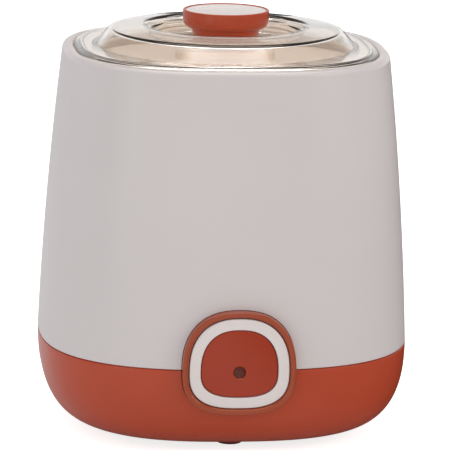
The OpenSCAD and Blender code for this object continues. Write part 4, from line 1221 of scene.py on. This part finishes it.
def mottled(name, color, other, roughness, size):
    """A pressed or fired material with flecks of a second colour."""
    material, tree, shader = new_finish(name, color, roughness)
    cells = add(tree, "TexVoronoi", {"Vector": place_nodes(tree), "Scale": 1 / (size * MM)}, "Distance")
    fill(tree, shader, {"Base Color": blended(tree, spread(tree, cells, 0, 1), color, other),
                        "Roughness": uneven(tree, roughness, noise(tree, size * 2, 3), 0.85, 1.15)})
    bump(tree, shader, noise(tree, size, 3), 0.01)
    return material


def fine_fibres(name, color, other, roughness):
    """Pressed felt or fibre: short fibres lying both ways."""
    material, tree, shader = new_finish(name, color, roughness)
    fibres = greatest(tree, *(noise(tree, 0.6, 4, stretched(tree, way)) for way in ((1, 9, 3), (9, 1, 3))))
    fill(tree, shader, {"Base Color": blended(tree, spread(tree, fibres, 0, 1), color, other)})
    bump(tree, shader, fibres, 0.05)
    return material


def make_finishes():
    """A finish for each material slot of the record, and glossier ones for the panel's two red pieces, whose
    darker red is painted shade.
    """
    finishes = [
        moulded_plastic("red_plastic", RED, 0.3, variation=0.025, cloud=60, shine=0.35),
        # the next two reds are darker than red_plastic: painted shade on the panel's front, besides a real
        # higher gloss
        moulded_plastic("button_red_painted_shade", BUTTON_RED_PAINTED_SHADE, 0.16, variation=0.02, cloud=60, shine=0.3),
        moulded_plastic("bezel_red_painted_shade", BEZEL_RED_PAINTED_SHADE, 0.16, variation=0.02, cloud=60, shine=0.3),
        moulded_plastic("white_plastic", WHITE, 0.34, variation=0.012, cloud=70),
        moulded_plastic("trim_plastic", TRIM_WHITE, 0.28, variation=0.012, cloud=30),
        moulded_plastic("inner_white_plastic", INNER_WHITE, 0.42, variation=0.015),
        milky_plastic("jar_plastic", MILKY, 0.38),
        clear_plastic("clear_plastic", CLEAR, 0.03),
        smoked_lens("window_plastic", SMOKED, 0.22),
        smoked_lens("lamp", (0.62, 0.16, 0.10), 0.18),
        moulded_plastic("dark_plastic", (0.022, 0.021, 0.021), 0.42, variation=0.2, cloud=8),
        moulded_plastic("grey_plastic", (0.42, 0.42, 0.41), 0.45, variation=0.05, cloud=15),
        mottled("ceramic", (0.66, 0.63, 0.57), (0.74, 0.72, 0.67), 0.5, 1.2),
        soft_rubber("rubber", (0.024, 0.022, 0.022), 0.66),
        soft_rubber("gasket", (0.42, 0.41, 0.38), 0.6),
        spun_metal("aluminium", (0.80, 0.80, 0.81), 0.3),
        brushed_metal("steel", (0.56, 0.56, 0.57), 0.3),
        brushed_metal("brass", (0.70, 0.52, 0.24), 0.3, grain=(6, 6, 1)),
        brushed_metal("foil", (0.62, 0.33, 0.15), 0.38, grain=(1, 3, 1), size=2),
        fine_fibres("mica", (0.60, 0.54, 0.42), (0.72, 0.67, 0.56), 0.7),
        fine_fibres("circuit_board", (0.10, 0.20, 0.09), (0.14, 0.26, 0.12), 0.45),
        moulded_plastic("component", (0.035, 0.042, 0.07), 0.4, variation=0.25, cloud=5),
        moulded_plastic("brown_wire", (0.15, 0.055, 0.025), 0.4, variation=0.15, cloud=6),
        moulded_plastic("blue_wire", (0.03, 0.09, 0.33), 0.4, variation=0.15, cloud=6),
    ]
    # a name that was taken has got a number behind a dot
    return {finish.name.split(".")[0]: finish for finish in finishes}


def wear(obj, finish):
    """Gives a piece one finish all over."""
    obj.data.materials.clear()
    obj.data.materials.append(finish)


# -------- studio


def make_camera():
    """Looks down on the front from a little to the left, from two metres away."""
    turn = math.radians(CAMERA_TURN)
    tilt = math.radians(CAMERA_TILT)
    roll = math.radians(CAMERA_ROLL)
    ahead = Vector((math.sin(turn) * math.cos(tilt), math.cos(turn) * math.cos(tilt), math.sin(tilt)))
    level = ahead.cross(Vector((0, 0, 1))).normalized()
    upward = level.cross(ahead)
    right = level * math.cos(roll) + upward * math.sin(roll)
    up = upward * math.cos(roll) - level * math.sin(roll)
    deselect()
    bpy.ops.object.camera_add()
    camera = bpy.context.object
    rotation = Matrix((right, up, -ahead)).transposed().to_4x4()
    camera.matrix_world = Matrix.Translation(Vector(CAMERA_PLACE) * MM) @ rotation
    camera.data.lens = CAMERA_LENS
    camera.data.clip_end = 20
    bpy.context.scene.camera = camera


def make_lamp(name, place, size, watts, color=(1, 1, 1)):
    """A soft box at a place in metres, facing the object."""
    deselect()
    bpy.ops.object.light_add(type="AREA", location=place)
    lamp = bpy.context.object
    lamp.name = name
    lamp.data.shape = "RECTANGLE"
    lamp.data.size, lamp.data.size_y = size
    lamp.data.energy = watts
    lamp.data.color = color
    lamp.rotation_euler = (Vector(LIT_PLACE) - Vector(place)).to_track_quat("-Z", "Y").to_euler()


def make_world():
    """A dim even room. The eye and clear plastic see it white; gloss sees a pale wall and a light above."""
    world = bpy.data.worlds.new("studio")
    world.use_nodes = True
    bpy.context.scene.world = world
    tree = world.node_tree
    dim = tree.nodes["Background"]
    fill(tree, dim, {"Color": opaque(ROOM_COLOR), "Strength": ROOM_LIGHT})
    ray = tree.nodes.new("ShaderNodeLightPath").outputs
    x, y, z = split(tree, add(tree, "TexCoord", output="Generated"))
    aside = add(tree, "Math", {0: x}, operation="ABSOLUTE")
    wall = reckoned(tree, "MULTIPLY", ramp(tree, y, *WALL_START), ramp(tree, z, *WALL_ENDS, 1, 0))
    white = greatest(tree, ray["Is Camera Ray"], ray["Is Transmission Ray"], wall)
    overhead = reckoned(tree, "MULTIPLY", ramp(tree, z, *OVERHEAD_HEIGHT, 0, OVERHEAD_LIGHT),
                        ramp(tree, aside, *OVERHEAD_WIDTH, 1, 0), ray["Is Glossy Ray"])
    bright = add(tree, "Background", {"Color": blended(tree, white, ROOM_GLOSS, (1, 1, 1)),
                                      "Strength": reckoned(tree, "ADD", overhead, 1)})
    seen = greatest(tree, ray["Is Camera Ray"], ray["Is Transmission Ray"], ray["Is Glossy Ray"])
    direct = reckoned(tree, "LESS_THAN", ray["Diffuse Depth"], 0.5)
    shown = reckoned(tree, "MULTIPLY", seen, direct)
    fill(tree, tree.nodes["World Output"],
         {"Surface": mixed(tree, shown, dim.outputs["Background"], bright)})


def make_floor():
    """A pale floor that takes the shadow and is clear from below. Gloss to the right sees it black."""
    deselect()
    bpy.ops.mesh.primitive_plane_add(size=12, location=(0, 0, 0))
    floor = named("floor")
    material, tree, shader = new_finish("floor_paper", FLOOR_COLOR, 0.9)
    fill(tree, shader, {"Specular IOR Level": 0.0})
    ray = tree.nodes.new("ShaderNodeLightPath").outputs
    dark = add(tree, "Emission", {"Strength": 0})
    lift = mixed(tree, ray["Is Camera Ray"], dark, add(tree, "Emission", {"Strength": FLOOR_LIFT}))
    paper = add(tree, "AddShader", {0: shader.outputs["BSDF"], 1: lift})
    to_right = split(tree, place_nodes(tree))["X"]
    flag = reckoned(tree, "MULTIPLY", ramp(tree, to_right, *FLAG_ENDS), ray["Is Glossy Ray"])
    from_above = mixed(tree, flag, paper, dark)
    below = add(tree, "NewGeometry", output="Backfacing")
    fill(tree, tree.nodes["Material Output"],
         {"Surface": mixed(tree, below, from_above, add(tree, "BsdfTransparent"))})
    floor.data.materials.append(material)


def make_studio():
    """Plain soft light from nearly everywhere: boxes in front, to the left and right of it, and overhead."""
    make_world()
    make_floor()
    make_lamp("front_box", (-0.3, -2.4, 0.8), (2.4, 1.6), FRONT_WATTS)
    make_lamp("left_box", (-1.9, -1.5, 0.7), (1.0, 1.4), LEFT_WATTS)
    make_lamp("right_box", (2.0, -1.4, 1.2), (1.0, 1.4), RIGHT_WATTS, RIGHT_COLOR)
    make_lamp("top_box", (0, 0.3, 2.2), (1.8, 1.8), TOP_WATTS)


# -------- the object


PIECES = [
    # maker, the node it stands for, the body it rides on, its material slot
    (make_body_shell, "body_shell", "housing", "white_plastic"),
    (make_base_shell, "base_shell", "housing", "red_plastic"),
    (make_foot_pads, "foot_pads", "housing", "rubber"),
    (make_well_liner, "well_liner", "housing", "inner_white_plastic"),
    (make_cord_gland, "cord_gland", "housing", "dark_plastic"),
    (make_control_bezel, "control_bezel", "housing", "red_plastic"),
    (make_trim_ring, "trim_ring", "housing", "trim_plastic"),
    (make_power_button, "power_button", "button", "red_plastic"),
    (make_indicator_window, "indicator_window", "button", "window_plastic"),
    (make_return_spring, "button_spring", "button", "steel"),
    (make_jar, "jar", "jar_body", "jar_plastic"),
    (make_jar_cover, "jar_cover", "cover_body", "jar_plastic"),
    (make_clear_lid, "clear_lid", "lid_body", "clear_plastic"),
    (make_lid_knob, "lid_knob", "lid_body", "red_plastic"),
    (make_knob_cap, "knob_cap", "lid_body", "trim_plastic"),
]
POLISHED_AND_PAINTED_SHADE = {"control_bezel": "bezel_red_painted_shade", "power_button": "button_red_painted_shade"}  # glossier than their slot, and a darker red that is painted shade for the dimmer light on the panel's front

make_camera()
make_studio()
finishes = make_finishes()

for maker, node, body, slot in PIECES:
    piece = maker()
    wear(piece, finishes[POLISHED_AND_PAINTED_SHADE.get(node, slot)])
    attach(piece, body)
    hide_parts(node)
    if node == "button_spring":
        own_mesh(piece)

made = {node for maker, node, body, slot in PIECES}
for part in frame["record"]["subparts"]:
    if part["node"] not in made:
        wear(frame["nodes"][part["node"]], finishes[part["material_slot"]])

bpy.context.scene.view_settings.view_transform = "Standard"
